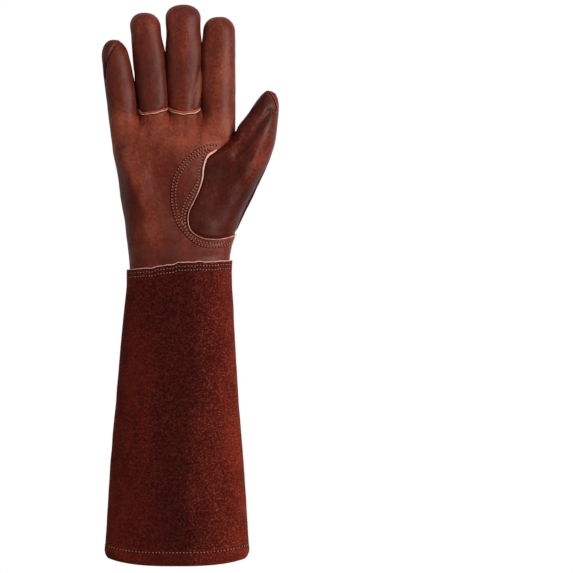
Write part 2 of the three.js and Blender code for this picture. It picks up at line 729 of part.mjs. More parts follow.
// Pieces laid on the palm take its own facets, so the gap under them is even.
const laidOn = (thickness) =>
  wall(hand, palmCells, { out: layGap + thickness, inward: -layGap, inset: seamGap });
const seam = planCurve(thumbSeam);
const weltBand = strip(seam, seamGap, seamGap + weltWidth, seamSteps - 3, 2 / seamSteps, 1 - 1 / seamSteps);
addPiece("thumb_welt", keep(laidOn(weltStand), prism(weltBand, palmHeight / 2)), "cutEdge");
const patchNear = strip(seam, 2 * seamGap + weltWidth, 0, seamSteps - 3, 2 / seamSteps, 1 - 1 / seamSteps);
const patchFar = planCurve(patchEdge).getPoints(patchSteps).reverse();
const crescent = [...patchNear.slice(0, seamSteps - 2), ...patchFar];
addPiece("thumb_patch", keep(laidOn(patchWall), prism(crescent, palmHeight / 2)), "grain");

// The edge along the bases of the two middle fingers lies just below the seam.
const baseSeam = [1, 2].flatMap((index) =>
  evenly(weltSteps).map((t) => handColumnPoint(index, lerp(180 - palmSeam, palmSeam, t), 0)),
);
const below = (distance) => baseSeam.map((point) => new THREE.Vector2(point.x, point.y - distance));
const baseBand = [...below(0), ...below(weltWidth).reverse()];
addPiece("finger_base_welt", keep(laidOn(weltStand), prism(baseBand)), "cutEdge");

// The cuff is thicker where its hem is folded inside.
const cuffDepth = (point) => (point.y < hemDepth + hemStep ? suedeWall + hemFold : suedeWall);
const cuff = cuffSkin();
addPiece("cuff", wall(cuff, cuff.cells, { inward: cuffDepth, inset: 0 }), "suede");

const box = new THREE.Box3().setFromObject(glove);
glove.position.set(-(box.min.x + box.max.x) / 2, -(box.min.y + box.max.y) / 2, -box.min.z);

export default glove;
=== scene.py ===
# Rose pruning gauntlet, right hand, lying palm up: the leather, welts and stitches over the CAD frame.
import math

import bpy
import numpy as np
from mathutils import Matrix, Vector, noise
from mathutils.bvhtree import BVHTree
from mathutils.kdtree import KDTree


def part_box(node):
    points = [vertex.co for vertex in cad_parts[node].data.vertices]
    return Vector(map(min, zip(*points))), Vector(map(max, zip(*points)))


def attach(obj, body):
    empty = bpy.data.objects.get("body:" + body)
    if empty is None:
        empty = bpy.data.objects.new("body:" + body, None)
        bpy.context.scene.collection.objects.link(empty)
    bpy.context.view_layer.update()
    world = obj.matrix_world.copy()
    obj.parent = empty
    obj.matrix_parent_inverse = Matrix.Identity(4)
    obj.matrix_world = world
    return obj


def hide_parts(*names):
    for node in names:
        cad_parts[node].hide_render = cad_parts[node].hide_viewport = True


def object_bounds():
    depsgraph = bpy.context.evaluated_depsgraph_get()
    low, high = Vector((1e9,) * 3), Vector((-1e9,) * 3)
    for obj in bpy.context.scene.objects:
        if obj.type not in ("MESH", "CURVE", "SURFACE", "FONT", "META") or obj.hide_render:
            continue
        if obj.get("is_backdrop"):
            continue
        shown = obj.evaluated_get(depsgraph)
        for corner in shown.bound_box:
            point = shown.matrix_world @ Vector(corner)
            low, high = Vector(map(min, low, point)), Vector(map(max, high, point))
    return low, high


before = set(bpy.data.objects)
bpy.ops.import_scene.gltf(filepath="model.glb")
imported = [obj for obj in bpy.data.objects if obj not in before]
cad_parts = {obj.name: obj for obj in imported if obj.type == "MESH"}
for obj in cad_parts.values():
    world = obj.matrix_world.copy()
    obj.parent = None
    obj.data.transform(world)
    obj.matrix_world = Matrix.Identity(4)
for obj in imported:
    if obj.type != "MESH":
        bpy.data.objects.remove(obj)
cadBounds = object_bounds()

# The part is drawn in millimetres from the middle of the hem, and moved to where the cuff's CAD solid lies.
cuffLow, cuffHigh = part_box("cuff")
origin = np.array([(cuffLow.x + cuffHigh.x) / 2, cuffLow.y, 0.0])
mm = 0.001

walls = {"leather": 1.3, "suede": 1.8, "seamGap": 0.34, "cuffEase": 0.7}
upwards = np.array([0.0, 0.0, 1.0])

cuff = {
    "length": 252,  # hem to cut edge
    "tilt": 8,  # cut edge rises this much to the thumb side
    "overlap": 17,  # hand inside the cuff
    "hemWidth": 123,
    "hemHeight": 57,
    "hemDrop": 6.0,
    "hemDepth": 11,
    "corner": 3.0,
    "cornerLength": 8,
    "cornerPower": 2.5,
    "squareness": 0.95,
    "flare": 1.1,
    "drift": 5,
}

hand = {
    "length": 134,  # cut edge of the cuff to the crotches
    "wristWidth": 84,
    "height": 36,
    "shift": 2,
    "crotchRise": 3,
    "baseDip": 5.5,
    "knuckleBlend": 27,
    "flatSink": 1.1,
    "fingerGap": 0.9,
    "fingerThickness": 21.5,
    "palmRound": 2.3,
    "backRound": 3,
}

fingers = [
    {"width": 25.6, "length": 57, "belly": 1.0, "tip": 0.83, "lean": -0.135, "round": 0.62},
    {"width": 24.8, "length": 79.6, "belly": 1.08, "tip": 1.02, "lean": -0.095, "round": 0.48},
    {"width": 27.1, "length": 86.9, "belly": 1.07, "tip": 1.12, "lean": -0.02, "round": 0.48},
    {"width": 28.6, "length": 76.5, "belly": 0.99, "tip": 0.935, "lean": -0.002, "round": 0.48},
]
tips = {"square": 2.2, "taper": 0.1, "belly": 0.45}
seams = {"palm": 12, "back": -42, "tip": -15, "index": -25, "stripStart": 0.45}  # degrees round a finger

handSections = [  # along, spread, shift, height, side
    (-0.13, 0, 0, 1.14, 0.49),
    (0, 0, 0, 1.13, 0.49),
    (0.12, 0.16, 0.003, 1.08, 0.46),
    (0.2, 0.36, 0.011, 1.03, 0.44),
    (0.28, 0.42, 0.008, 1.01, 0.42),
    (0.42, 0.53, -0.011, 1, 0.41),
    (0.57, 0.645, -0.023, 0.98, 0.41),
    (0.72, 0.79, -0.039, 0.92, 0.41),
    (0.87, 0.905, -0.052, 0.82, 0.42),
    (1, 1, -0.063, 0.7, 0.42),
]

dents = [  # side, across, along, wide, long, depth
    (1, -0.16, 0.5, 0.16, 0.26, 0.055),
    (1, -0.36, 0.45, 0.1, 0.22, -0.04),
    (1, 0.02, 0.09, 0.4, 0.045, 0.035),
    (1, -0.05, 0.84, 0.42, 0.05, 0.03),
    (-1, 0, 0.26, 0.5, 0.04, 0.05),
    (-1, -0.04, 0.16, 0.46, 0.035, 0.035),
]
gather = {"along": 0.26, "long": 0.06, "period": 17.5, "depth": 0.7}

thumbSeam = [  # across, along
    (0.451, 0.842),
    (0.368, 0.771),
    (0.288, 0.716),
    (0.225, 0.679),
    (0.196, 0.61),
    (0.188, 0.545),
    (0.161, 0.469),
    (0.119, 0.393),
    (0.081, 0.32),
    (0.087, 0.24),
    (0.13, 0.199),
    (0.191, 0.175),
    (0.261, 0.169),
    (0.331, 0.173),
    (0.404, 0.19),
    (0.456, 0.212),
]
patchEdge = [  # across, along
    (0.331, 0.768),
    (0.204, 0.763),
    (0.079, 0.702),
    (-0.009, 0.622),
    (-0.064, 0.52),
    (-0.073, 0.4),
    (-0.039, 0.285),
    (0.024, 0.203),
    (0.121, 0.132),
    (0.233, 0.104),
    (0.341, 0.11),
    (0.421, 0.146),
]

thumb = {
    "length": 42.5,
    "width": 33,
    "thickness": 25,
    "crotchEase": 1.4,
    "heading": 21,
    "axis": 0.62,
    "reach": 0.9,
}
thumbSections = [  # along, across, up, width, thick
    (0, 0, 0, 0.5, 0.5),
    (0.24, 0.06, 0.225, 0.445, 0.49),
    (0.38, 0.09, 0.355, 0.407, 0.47),
    (0.53, 0.15, 0.485, 0.366, 0.44),
    (0.67, 0.182, 0.621, 0.317, 0.39),
    (0.82, 0.234, 0.762, 0.255, 0.31),
    (0.91, 0.252, 0.85, 0.2, 0.235),
    (0.97, 0.264, 0.905, 0.125, 0.145),
    (1, 0.27, 0.93, 0, 0),
]

palmWidth = sum(finger["width"] for finger in fingers) + hand["fingerGap"] * (len(fingers) - 1)
crotchY = cuff["length"] + hand["length"]
handEndY = cuff["length"] - cuff["overlap"]


def smooth(t):
    t = np.clip(t, 0, 1)
    return t * t * (3 - 2 * t)


def around(count):
    # even angles for a ring of so many points
    return np.arange(count) * 2 * math.pi / count


def lerp(a, b, t):
    return a + (b - a) * t


def bump(t):
    return np.exp(-2 * np.square(t))


def hill(t):
    return np.exp(-np.square(t))


def roundness(share, power):
    return np.maximum(0, 1 - np.abs(share) ** power) ** (1 / power)


def stack(x, y, z):
    return np.stack(np.broadcast_arrays(x, y, z), axis=-1).astype(float)


def unit(vectors):
    return vectors / np.maximum(np.linalg.norm(vectors, axis=-1, keepdims=True), 1e-9)


def corners(cells):
    # cells as lists of corners, without the doubled corner that a three-cornered one has
    return [list(dict.fromkeys(cell)) for cell in cells.tolist()]


def readTable(rows, at, column):
    # one column of a table, read smoothly between its rows
    table = np.array(rows, float)
    places = table[:, 0]
    values = table[:, column]
    slopes = np.empty(len(places))
    slopes[1:-1] = (values[2:] - values[:-2]) / (places[2:] - places[:-2])
    slopes[0] = (values[1] - values[0]) / (places[1] - places[0])
    slopes[-1] = (values[-1] - values[-2]) / (places[-1] - places[-2])
    place = np.clip(at, places[0], places[-1])
    i = np.clip(np.searchsorted(places, place, side="left") - 1, 0, len(places) - 2)
    span = places[i + 1] - places[i]
    t = (place - places[i]) / span
    rise = values[i + 1] - values[i]
    m0 = slopes[i] * span
    m1 = slopes[i + 1] * span
    return values[i] + t * (m0 + t * (3 * rise - 2 * m0 - m1 + t * (m0 + m1 - 2 * rise)))


def handSection(y):
    along = (y - cuff["length"]) / hand["length"]
    height = hand["height"] * readTable(handSections, along, 3)
    inCuff = 1 - smooth((y - cuff["length"] - cuff["tilt"] / 2 - 2) / 12)
    floor = inCuff * (walls["suede"] + walls["cuffEase"])
    middle = hand["shift"] + palmWidth * readTable(handSections, along, 2)
    half = lerp(hand["wristWidth"], palmWidth, readTable(handSections, along, 1)) / 2
    side = height * readTable(handSections, along, 4) + floor
    return middle, half, height + floor, side, floor


def pressedIn(side, x, y):
    across = (x - hand["shift"]) / palmWidth
    along = (y - cuff["length"]) / hand["length"]
    depth = 0
    for dentSide, dentAcross, dentAlong, wide, long, deep in dents:
        if dentSide == side:
            spread = bump((across - dentAcross) / wide) * bump((along - dentAlong) / long)
            depth = depth + deep * hand["height"] * spread
    if side < 0:
        wave = 0.5 + 0.5 * np.cos(x / gather["period"] * 2 * math.pi)
        depth = depth + gather["depth"] * wave * bump((along - gather["along"]) / gather["long"])
    return depth


def handPoint(side, across, y):
    middle, half, top, seam, floor = handSection(y)
    x = middle + across * half
    if side > 0:
        arch = roundness(across, hand["palmRound"])
        return stack(x, y, seam + (top - seam) * arch - pressedIn(1, x, y) * arch)
    arch = roundness(across, hand["backRound"])
    z = np.maximum(floor, seam - (seam - floor + hand["flatSink"]) * arch)
    return stack(x, y, z + pressedIn(-1, x, y) * arch)


def onPalm(x, y):
    middle, half, top, seam, floor = handSection(y)
    return handPoint(1, np.clip((x - middle) / half, -1, 1), y)


def fingerBase(index):
    left = hand["shift"] + palmWidth * handSections[-1][2] - palmWidth / 2
    before = sum(finger["width"] + hand["fingerGap"] for finger in fingers[:index])
    return left + before + fingers[index]["width"] / 2


def baseY(theta):
    wrapped = np.where(theta > 270, theta - 360, theta)
    up = np.sin(np.radians(wrapped))
    rise = hand["crotchRise"] * smooth(-up / math.sin(math.radians(-seams["back"])))
    return crotchY + np.where(up > 0, -hand["baseDip"] * up, rise)


def fingerPoint(index, theta, share):
    finger = fingers[index]
    start = baseY(theta)
    y = start + (crotchY + finger["length"] - start) * share
    along = np.clip((y - crotchY) / finger["length"], 0, 1)
    roundLength = finger["round"] * finger["width"]
    inTip = np.clip((y - crotchY - finger["length"] + roundLength) / roundLength, 0, 1)
    widths = [(0, 1), (tips["belly"], finger["belly"]), (1, finger["tip"])]
    half = finger["width"] / 2 * readTable(widths, along, 1) * roundness(inTip, tips["square"])
    thick = hand["fingerThickness"] / 2 * (1 - tips["taper"] * along)
    middle = fingerBase(index) + finger["lean"] * finger["length"] * along
    x = middle + half * np.cos(np.radians(theta))
    z = thick - hand["flatSink"] / 2 + thick * roundness(inTip, 2) * np.sin(np.radians(theta))
    return stack(x, y, np.maximum(0, z))


def columnPoint(index, theta, share):
    # a finger's column of leather, from its base (0) down into the cuff (1)
    start = baseY(theta)
    atBase = fingerPoint(index, theta, 0)
    y = lerp(start, handEndY, share)
    middle, half, top, seam, floor = handSection(start)
    across = np.clip((atBase[:, 0] - middle) / half, -1, 1)
    onBack = np.sin(np.radians(theta)) < -1e-9
    point = np.where(onBack[:, None], handPoint(-1, across, y), handPoint(1, across, y))
    t = smooth((start - y) / hand["knuckleBlend"])
    point[:, 2] = lerp(atBase[:, 2], point[:, 2], t)
    return point


def spaced(count, squeeze=0.0):
    # shares from 0 to 1, closer together at both ends where squeeze is more
    t = np.arange(count + 1) / count
    return t - squeeze * np.sin(2 * math.pi * t) / (2 * math.pi)


meshing = {"palm": 34, "strip": 12, "back": 30, "straight": 70, "tip": 22, "handRows": 130, "squeeze": 0.45}


def ringAngles(index, share, shareAtJoin):
    narrowing = np.clip((share - seams["stripStart"]) / (shareAtJoin - seams["stripStart"]), 0, 1) ** 2
    thumbSide = index == len(fingers) - 1
    littleSide = index == 0
    palmEdge = lerp(seams["palm"], seams["tip"], narrowing)
    backEdge = lerp(seams["back"], seams["tip"], narrowing)
    palmFrom = seams["index"] if thumbSide else palmEdge
    palmTo = 180 if littleSide else 180 - palmEdge
    backFrom = 180 if littleSide else 180 - backEdge
    backTo = 360 + (seams["index"] if thumbSide else backEdge)
    spans = {"palm": (palmFrom, palmTo, meshing["palm"] + 8 * thumbSide + 4 * littleSide)}
    if not littleSide:
        spans["littleStrip"] = (palmTo, backFrom, meshing["strip"])
    spans["back"] = (backFrom, backTo, meshing["back"] + 4 * thumbSide + 8 * littleSide)
    if not thumbSide:
        spans["thumbStrip"] = (backTo, palmFrom + 360, meshing["strip"])
    return {part: lerp(a, b, spaced(count, meshing["squeeze"])) for part, (a, b, count) in spans.items()}


def gridCells(numbers):
    # the four-cornered cells between the numbered points of a grid
    four = [numbers[:-1, :-1], numbers[:-1, 1:], numbers[1:, 1:], numbers[1:, :-1]]
    return np.stack(four, axis=-1).reshape(-1, 4)


class Skin:
    # welded points and four-cornered cells, each cell with the number of its piece
    def __init__(self):
        self.grids = []

    def add(self, piece, grid):
        self.grids.append((piece, np.asarray(grid, float)))

    def weld(self):
        points, cells, owners = [], [], []
        count = 0
        for piece, grid in self.grids:
            rows, columns = grid.shape[:2]
            numbers = np.arange(rows * columns).reshape(rows, columns) + count
            cells.append(gridCells(numbers))
            owners += [piece] * len(cells[-1])
            points.append(grid.reshape(-1, 3))
            count += rows * columns
        points = np.concatenate(points)
        keys, first, inverse = np.unique(
            np.round(points * 1e3).astype(np.int64), axis=0, return_index=True, return_inverse=True
        )
        self.points = points[first]
        self.cells = inverse.reshape(-1)[np.concatenate(cells)]
        self.owners = np.array(owners)
        distinct = np.array([len(set(cell)) > 2 for cell in self.cells.tolist()])
        self.cells = self.cells[distinct]
        self.owners = self.owners[distinct]
        self.findNormals()
        return self

    def findNormals(self):
        a, b, c, d = (self.points[self.cells[:, k]] for k in range(4))
        self.facing = np.cross(c - a, d - b)
        normals = np.zeros_like(self.points)
        for k in range(4):
            np.add.at(normals, self.cells[:, k], self.facing)
        self.normals = unit(normals)

    def seamPoints(self):
        # points along every line where two pieces meet or a piece ends
        edges = np.concatenate([self.cells[:, [k, (k + 1) % 4]] for k in range(4)])
        owners = np.tile(self.owners, 4)
        real = edges[:, 0] != edges[:, 1]
        edges, owners = edges[real], owners[real]
        size = len(self.points)
        ahead = edges[:, 0] * size + edges[:, 1]
        back = edges[:, 1] * size + edges[:, 0]
        order = np.argsort(ahead)
        found = np.clip(np.searchsorted(ahead[order], back), 0, len(order) - 1)
        match = order[found]
        paired = ahead[match] == back
        seam = paired & (owners != owners[match])
        a, b = self.points[edges[seam, 0]], self.points[edges[seam, 1]]
        return np.concatenate([lerp(a, b, t) for t in (0, 0.25, 0.5, 0.75)])


def placeTree(places):
    # finds the nearest of many places
    tree = KDTree(len(places))
    for k, place in enumerate(places.tolist()):
        tree.insert(place, k)
    tree.balance()
    return tree


def nearest(points, lines):
    # distance of each point from the nearest of the line's points
    tree = placeTree(lines)
    return np.array([tree.find(point)[2] for point in points.tolist()])


def ripple(points, size, seed=0.0):
    scaled = points / np.array(size, float) + seed
    return np.array([noise.noise(point) for point in scaled.tolist()])


def unevenness(points, look, broadSeed, smallSeed):
    # how far a surface swells with broad and with small waves
    broad = look["broad"] * ripple(points, look["broadSize"], broadSeed)
    return broad + look["small"] * ripple(points, look["smallSize"], smallSeed)


def clip(points, normals, cells, field):
    # cuts cells along the line where the field is zero and keeps the side where it is positive
    inside = field >= 0
    kept = inside[cells].all(axis=1)
    mixed = inside[cells].any(axis=1) & ~kept
    faces = corners(cells[kept])
    newPoints, newNormals, places = [], [], {}
    for cell in corners(cells[mixed]):
        face = []
        for a, b in zip(cell, cell[1:] + cell[:1]):
            if inside[a]:
                face.append(a)
            if inside[a] != inside[b]:
                key = (min(a, b), max(a, b))
                if key not in places:
                    places[key] = len(points) + len(newPoints)
                    t = field[a] / (field[a] - field[b])
                    newPoints.append(lerp(points[a], points[b], t))
                    newNormals.append(lerp(normals[a], normals[b], t))
                face.append(places[key])
        if len(face) > 2:
            faces.append(face)
    if newPoints:
        points = np.concatenate([points, newPoints])
        normals = unit(np.concatenate([normals, newNormals]))
    return points, normals, faces


def wall(points, normals, faces, thick=walls["leather"], inset=walls["seamGap"] / 2):
    # a closed wall over a sheet of faces, as arrays of points and a list of faces
    edges = {}
    for face in faces:
        for a, b in zip(face, face[1:] + face[:1]):
            if (b, a) in edges:
                del edges[(b, a)]
            else:
                edges[(a, b)] = face
    moved = np.array(points)
    ways = np.zeros_like(moved)
    counts = np.zeros(len(moved))
    for (a, b), face in edges.items():
        edge = points[b] - points[a]
        length = np.linalg.norm(edge)
        if length < 1e-6:
            continue
        away = np.cross(normals[a], edge / length)
        for corner in (a, b):
            ways[corner] += away
            counts[corner] += 1
    rim = counts > 0
    moved[rim] += unit(ways[rim]) * inset
    used = np.array(sorted({corner for face in faces for corner in face}))
    place = np.full(len(points), -1)
    place[used] = np.arange(len(used))
    outer = moved[used]
    inner = outer - normals[used] * thick
    shift = len(used)
    turned = [[int(place[corner]) for corner in face] for face in faces]
    under = [[corner + shift for corner in reversed(face)] for face in turned]
    sides = []
    for a, b in edges:
        p, q = int(place[a]), int(place[b])
        sides.append([q, p, p + shift, q + shift])
    return np.concatenate([outer, inner]), turned + under + sides


def addObject(name, data, place=(0, 0, 0)):
    made = bpy.data.objects.new(name, data)
    made.location = place
    bpy.context.scene.collection.objects.link(made)
    return made


def addPiece(name, points, faces, material, slot, replaces=(), sharp=50):
    # one visible piece, where an edge sharper than so many degrees stays crisp
    mesh = bpy.data.meshes.new(name)
    mesh.from_pydata((points * mm + origin).tolist(), [], faces)
    mesh.validate()
    mesh.shade_smooth()
    if sharp:
        mesh.set_sharp_from_angle(angle=math.radians(sharp))
    mesh.materials.append(material)
    piece = addObject(name, mesh)
    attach(piece, "root")
    if replaces:
        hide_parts(*replaces)
    print("made", name, len(mesh.polygons), "faces")
    return piece


# materials


class Value:
    # a shader socket that takes part in sums
    def __init__(self, maker, socket):
        self.maker = maker
        self.socket = socket

    def sum(self, operation, *others):
        inputs = dict(enumerate([self, *others]))
        return self.maker.node("ShaderNodeMath", {"operation": operation}, inputs)

    def __add__(self, other):
        return self.sum("ADD", other)

    __radd__ = __add__

    def __mul__(self, other):
        return self.sum("MULTIPLY", other)

    __rmul__ = __mul__

    def __sub__(self, other):
        return self.sum("SUBTRACT", other)

    def __rsub__(self, other):
        return self.maker.node("ShaderNodeMath", {"operation": "SUBTRACT"}, {0: other, 1: self})


class Nodes:
    # makes the nodes of one tree
    def __init__(self, tree):
        self.tree = tree

    def node(self, kind, settings=None, inputs=None, output=0):
        made = self.tree.nodes.new(kind)
        for key, value in (settings or {}).items():
            if key == "stops":
                self.setStops(made.color_ramp, value)
            else:
                setattr(made, key, value)
        for key, value in (inputs or {}).items():
            if isinstance(value, Value):
                self.tree.links.new(value.socket, made.inputs[key])
            else:
                made.inputs[key].default_value = value
        return Value(self, made.outputs[output])

    def setStops(self, ramp, stops):
        while len(ramp.elements) < len(stops):
            ramp.elements.new(1)
        for element, (place, shade) in zip(ramp.elements, stops):
            element.position = place
            element.color = colour(shade)


class Finish(Nodes):
    # a material whose looks are worked out in the drawing's millimetres
    def __init__(self, name, **constants):
        self.material = bpy.data.materials.new(name)
        self.material.use_nodes = True
        super().__init__(self.material.node_tree)
        self.surface = self.tree.nodes["Principled BSDF"]
        for socket, value in constants.items():
            self.surface.inputs[socket.replace("_", " ")].default_value = value
        place = self.node("ShaderNodeTexCoord", output="Object")
        self.place = self.node("ShaderNodeVectorMath", {"operation": "SCALE"}, {0: place, "Scale": 1 / mm})

    def noise(self, size, detail=3.0, rough=0.5, stretch=None):
        place = self.place
        if stretch:
            place = self.node("ShaderNodeVectorMath", {"operation": "MULTIPLY"}, {0: place, 1: stretch})
        inputs = {"Vector": place, "Scale": 1 / size, "Detail": detail, "Roughness": rough}
        return self.node("ShaderNodeTexNoise", {}, inputs)

    def cells(self, size, feature):
        inputs = {"Vector": self.place, "Scale": 1 / size}
        return self.node("ShaderNodeTexVoronoi", {"feature": feature}, inputs)

    def ramp(self, value, stops):
        return self.node("ShaderNodeValToRGB", {"stops": stops}, {0: value})

    def mask(self, value, low, high):
        settings = {"clamp": True, "interpolation_type": "SMOOTHSTEP"}
        inputs = {"Value": value, "From Min": low, "From Max": high}
        return self.node("ShaderNodeMapRange", settings, inputs)

    def mix(self, share, first, second):
        first, second = (colour(shade) if isinstance(shade, tuple) else shade for shade in (first, second))
        return self.node("ShaderNodeMix", {"data_type": "RGBA"}, {0: share, 6: first, 7: second}, 2)

    def tint(self, shade, pattern, reach, other):
        # moves a colour towards another where a pattern is high: from, to and share
        low, high, share = reach
        return self.mix(self.mask(pattern, low, high) * share, shade, other)

    def size(self, value):
        return self.node("ShaderNodeMath", {"operation": "ABSOLUTE"}, {0: value})

    def axis(self, name):
        # how far to the right or up in the drawing, in millimetres
        place = self.node("ShaderNodeSeparateXYZ", {}, {0: self.place}, output=name)
        return place - float(origin["XY".index(name)]) / mm

    def band(self, x, y, start, end, half):
        # 1 on a straight line of the drawing, and less beside it and past its ends
        run = math.dist(start, end)
        toX, toY = (end[0] - start[0]) / run, (end[1] - start[1]) / run
        beside = (x - start[0]) * toY - (y - start[1]) * toX
        along = (x - start[0]) * toX + (y - start[1]) * toY
        ends = self.mask(along, -half, half) * (1 - self.mask(along, run - half, run + half))
        return (1 - self.mask(self.size(beside), 0, half)) * ends

    def wear(self, shade, rough, height, depth):
        # puts the colour, the roughness and a relief of so many millimetres on the surface
        normal = self.node("ShaderNodeBump", {}, {"Height": height, "Distance": depth * mm, "Strength": 1.0})
        for name, value in (("Base Color", shade), ("Roughness", rough), ("Normal", normal)):
            self.tree.links.new(value.socket, self.surface.inputs[name])
        return self.material


def colour(shade):
    # an sRGB colour of 0 to 255 as a linear one
    parts = [part / 255 for part in shade]
    linear = [part / 12.92 if part <= 0.04045 else ((part + 0.055) / 1.055) ** 2.4 for part in parts]
    return (*linear, 1)


grainLook = {
    "dark": (62, 18, 10),
    "mid": (88, 30, 17),
    "light": (126, 56, 36),
    "crease": (44, 13, 8),
    "broad": (34, 0.28),  # a pattern's size in mm and its share in the tone
    "streaks": (11, 0.27),
    "patches": (2.4, 0.3),
    "pebble": 0.85,
    "fine": 0.5,
    "depth": 0.11,
    "rough": 0.36,
    "gloss": 0.18,
    "glossTint": (255, 232, 220),
    "level": 0.04,
    "stops": (0.36, 0.5, 0.66),  # the tones at which dark, mid and light lie
    "lineWidth": 0.22,
    "lineShare": 0.13,
    "pores": (0.48, 0.68, 0.24),  # from, to and share
    "uneven": (0.12, 0.06),  # roughness that the patches and the fine grain add
    "relief": (-0.6, 0.3, 0.3, 0.8, 1.6),  # of pebble, fine grain, lines, patches and streaks
    "paintedHighlight": 0.12,  # painted highlight: lighter below the fingers and, by half as much, towards the thumb
    "paintedHighlightRows": (318, 366, 372, 388),
    "paintedHighlightColumns": (16, 44),
    "wander": 14,
    "worn": [  # bands of painted highlight and painted shade: from, to, half the width, how much lighter
        ((-44, 344), (-14, 270), 11, 0.1),
        ((-7, 304), (-3, 262), 11, -0.045),
        ((-66, 408), (-64, 430), 5, -0.15),
        ((-64, 430), (-55, 443), 5, -0.15),
    ],
}
# a darker copy of the grain leather for the thumb: the shade on the thumb painted into its colours
thumbGrainShaded = {
    **grainLook,
    "dark": (46, 11, 6),
    "mid": (70, 19, 11),
    "light": (126, 50, 29),
    "pebble": 0.75,
    "rough": 0.3,
    "gloss": 0.15,
    "level": -0.01,
    "paintedHighlight": 0.05,
    # a band of painted highlight on the thumb's right side, and one of painted shade along its crease
    "worn": [((57, 320), (76, 350), 10, 0.135), ((55, 349), (82, 381), 6, -0.08)],
}


def grainLeather(name, look):
    finish = Finish(name, Specular_IOR_Level=look["gloss"], Specular_Tint=colour(look["glossTint"]))
    broad = finish.noise(look["broad"][0], 3, 0.5)
    streaks = finish.noise(look["streaks"][0], 3, 0.55, (1.0, 0.4, 1.0))
    patches = finish.noise(look["patches"][0], 3, 0.6)
    pebble = finish.cells(look["pebble"], "SMOOTH_F1")
    creases = finish.cells(look["pebble"] * 1.3, "DISTANCE_TO_EDGE")
    fine = finish.noise(look["fine"], 2)
    x, y = finish.axis("X"), finish.axis("Y")
    # painted highlight: lighter below the fingers and towards the thumb
    low, high, over, end = look["paintedHighlightRows"]
    paintedHighlight = finish.mask(y, low, high) * (1 - finish.mask(y, over, end))
    paintedHighlight = paintedHighlight + finish.mask(x, *look["paintedHighlightColumns"]) * 0.5
    tone = broad * look["broad"][1] + streaks * look["streaks"][1] + patches * look["patches"][1]
    tone = tone + paintedHighlight * look["paintedHighlight"] + look["level"]
    # bands of painted highlight and painted shade, whose edges wander with the streaks
    wandering = x + (streaks - 0.5) * look["wander"]
    for start, end, half, lighter in look["worn"]:
        tone = tone + finish.band(wandering, y, start, end, half) * lighter
    shade = finish.ramp(tone, list(zip(look["stops"], (look["dark"], look["mid"], look["light"]))))
    lines = finish.mask(creases, 0.0, look["lineWidth"])
    shade = finish.mix(look["lineShare"] - lines * look["lineShare"], shade, look["crease"])
    shade = finish.tint(shade, fine, look["pores"], look["crease"])
    rough = look["rough"] + patches * look["uneven"][0] + fine * look["uneven"][1]
    parts = (pebble, fine, lines, patches, streaks)
    relief = sum(part * weight for part, weight in zip(parts, look["relief"]))
    return finish.wear(shade, rough, relief, look["depth"])


suedeLook = {
    "dark": (34, 4, 3),
    "mid": (64, 12, 8),
    # painted sheen on the cuff's sides; its mottle and hem take this colour too
    "edge": (120, 36, 20),
    "speck": (158, 80, 60),
    "sheen": (190, 110, 90),
    "broad": 36,  # sizes in mm
    "clouds": 17,
    "mottle": 2.4,
    "wrinkle": 1.7,
    "nap": 0.9,
    "depth": 0.5,
    "rough": 0.86,
    "column": 1,  # middle of the column of painted shade, in mm to the right
    "wander": 34,
    "centre": (4, 28),  # where the column of painted shade fades, and where the painted sheen of the edges starts
    "sides": (26, 60),
    "lit": (4, 26),
    "dull": (0.48, 0.62, 0.6),  # from, to and share of the clouds where the light dies
    "tinted": 0.85,  # shares of the painted sheen at the edges and of the painted shade in the column
    "layers": [  # pattern, from, to, share, share more in the column, colour
        ("clouds", 0.44, 0.58, 0.38, 0.5, "dark"),
        ("mottle", 0.42, 0.66, 0.4, -0.14, "edge"),
        ("nap", 0.42, 0.62, 0.7, 0.0, "dark"),
    ],
    "paintedGlints": (0.5, 0.68, 0.1, 0.24),  # painted glints on the wrinkles: from, to, share and share more where it is lit
    "relief": (0.6, 1.4, 1.2, 1.5),  # of nap, wrinkles, mottle and clouds
    "hemTint": 0.12,
}


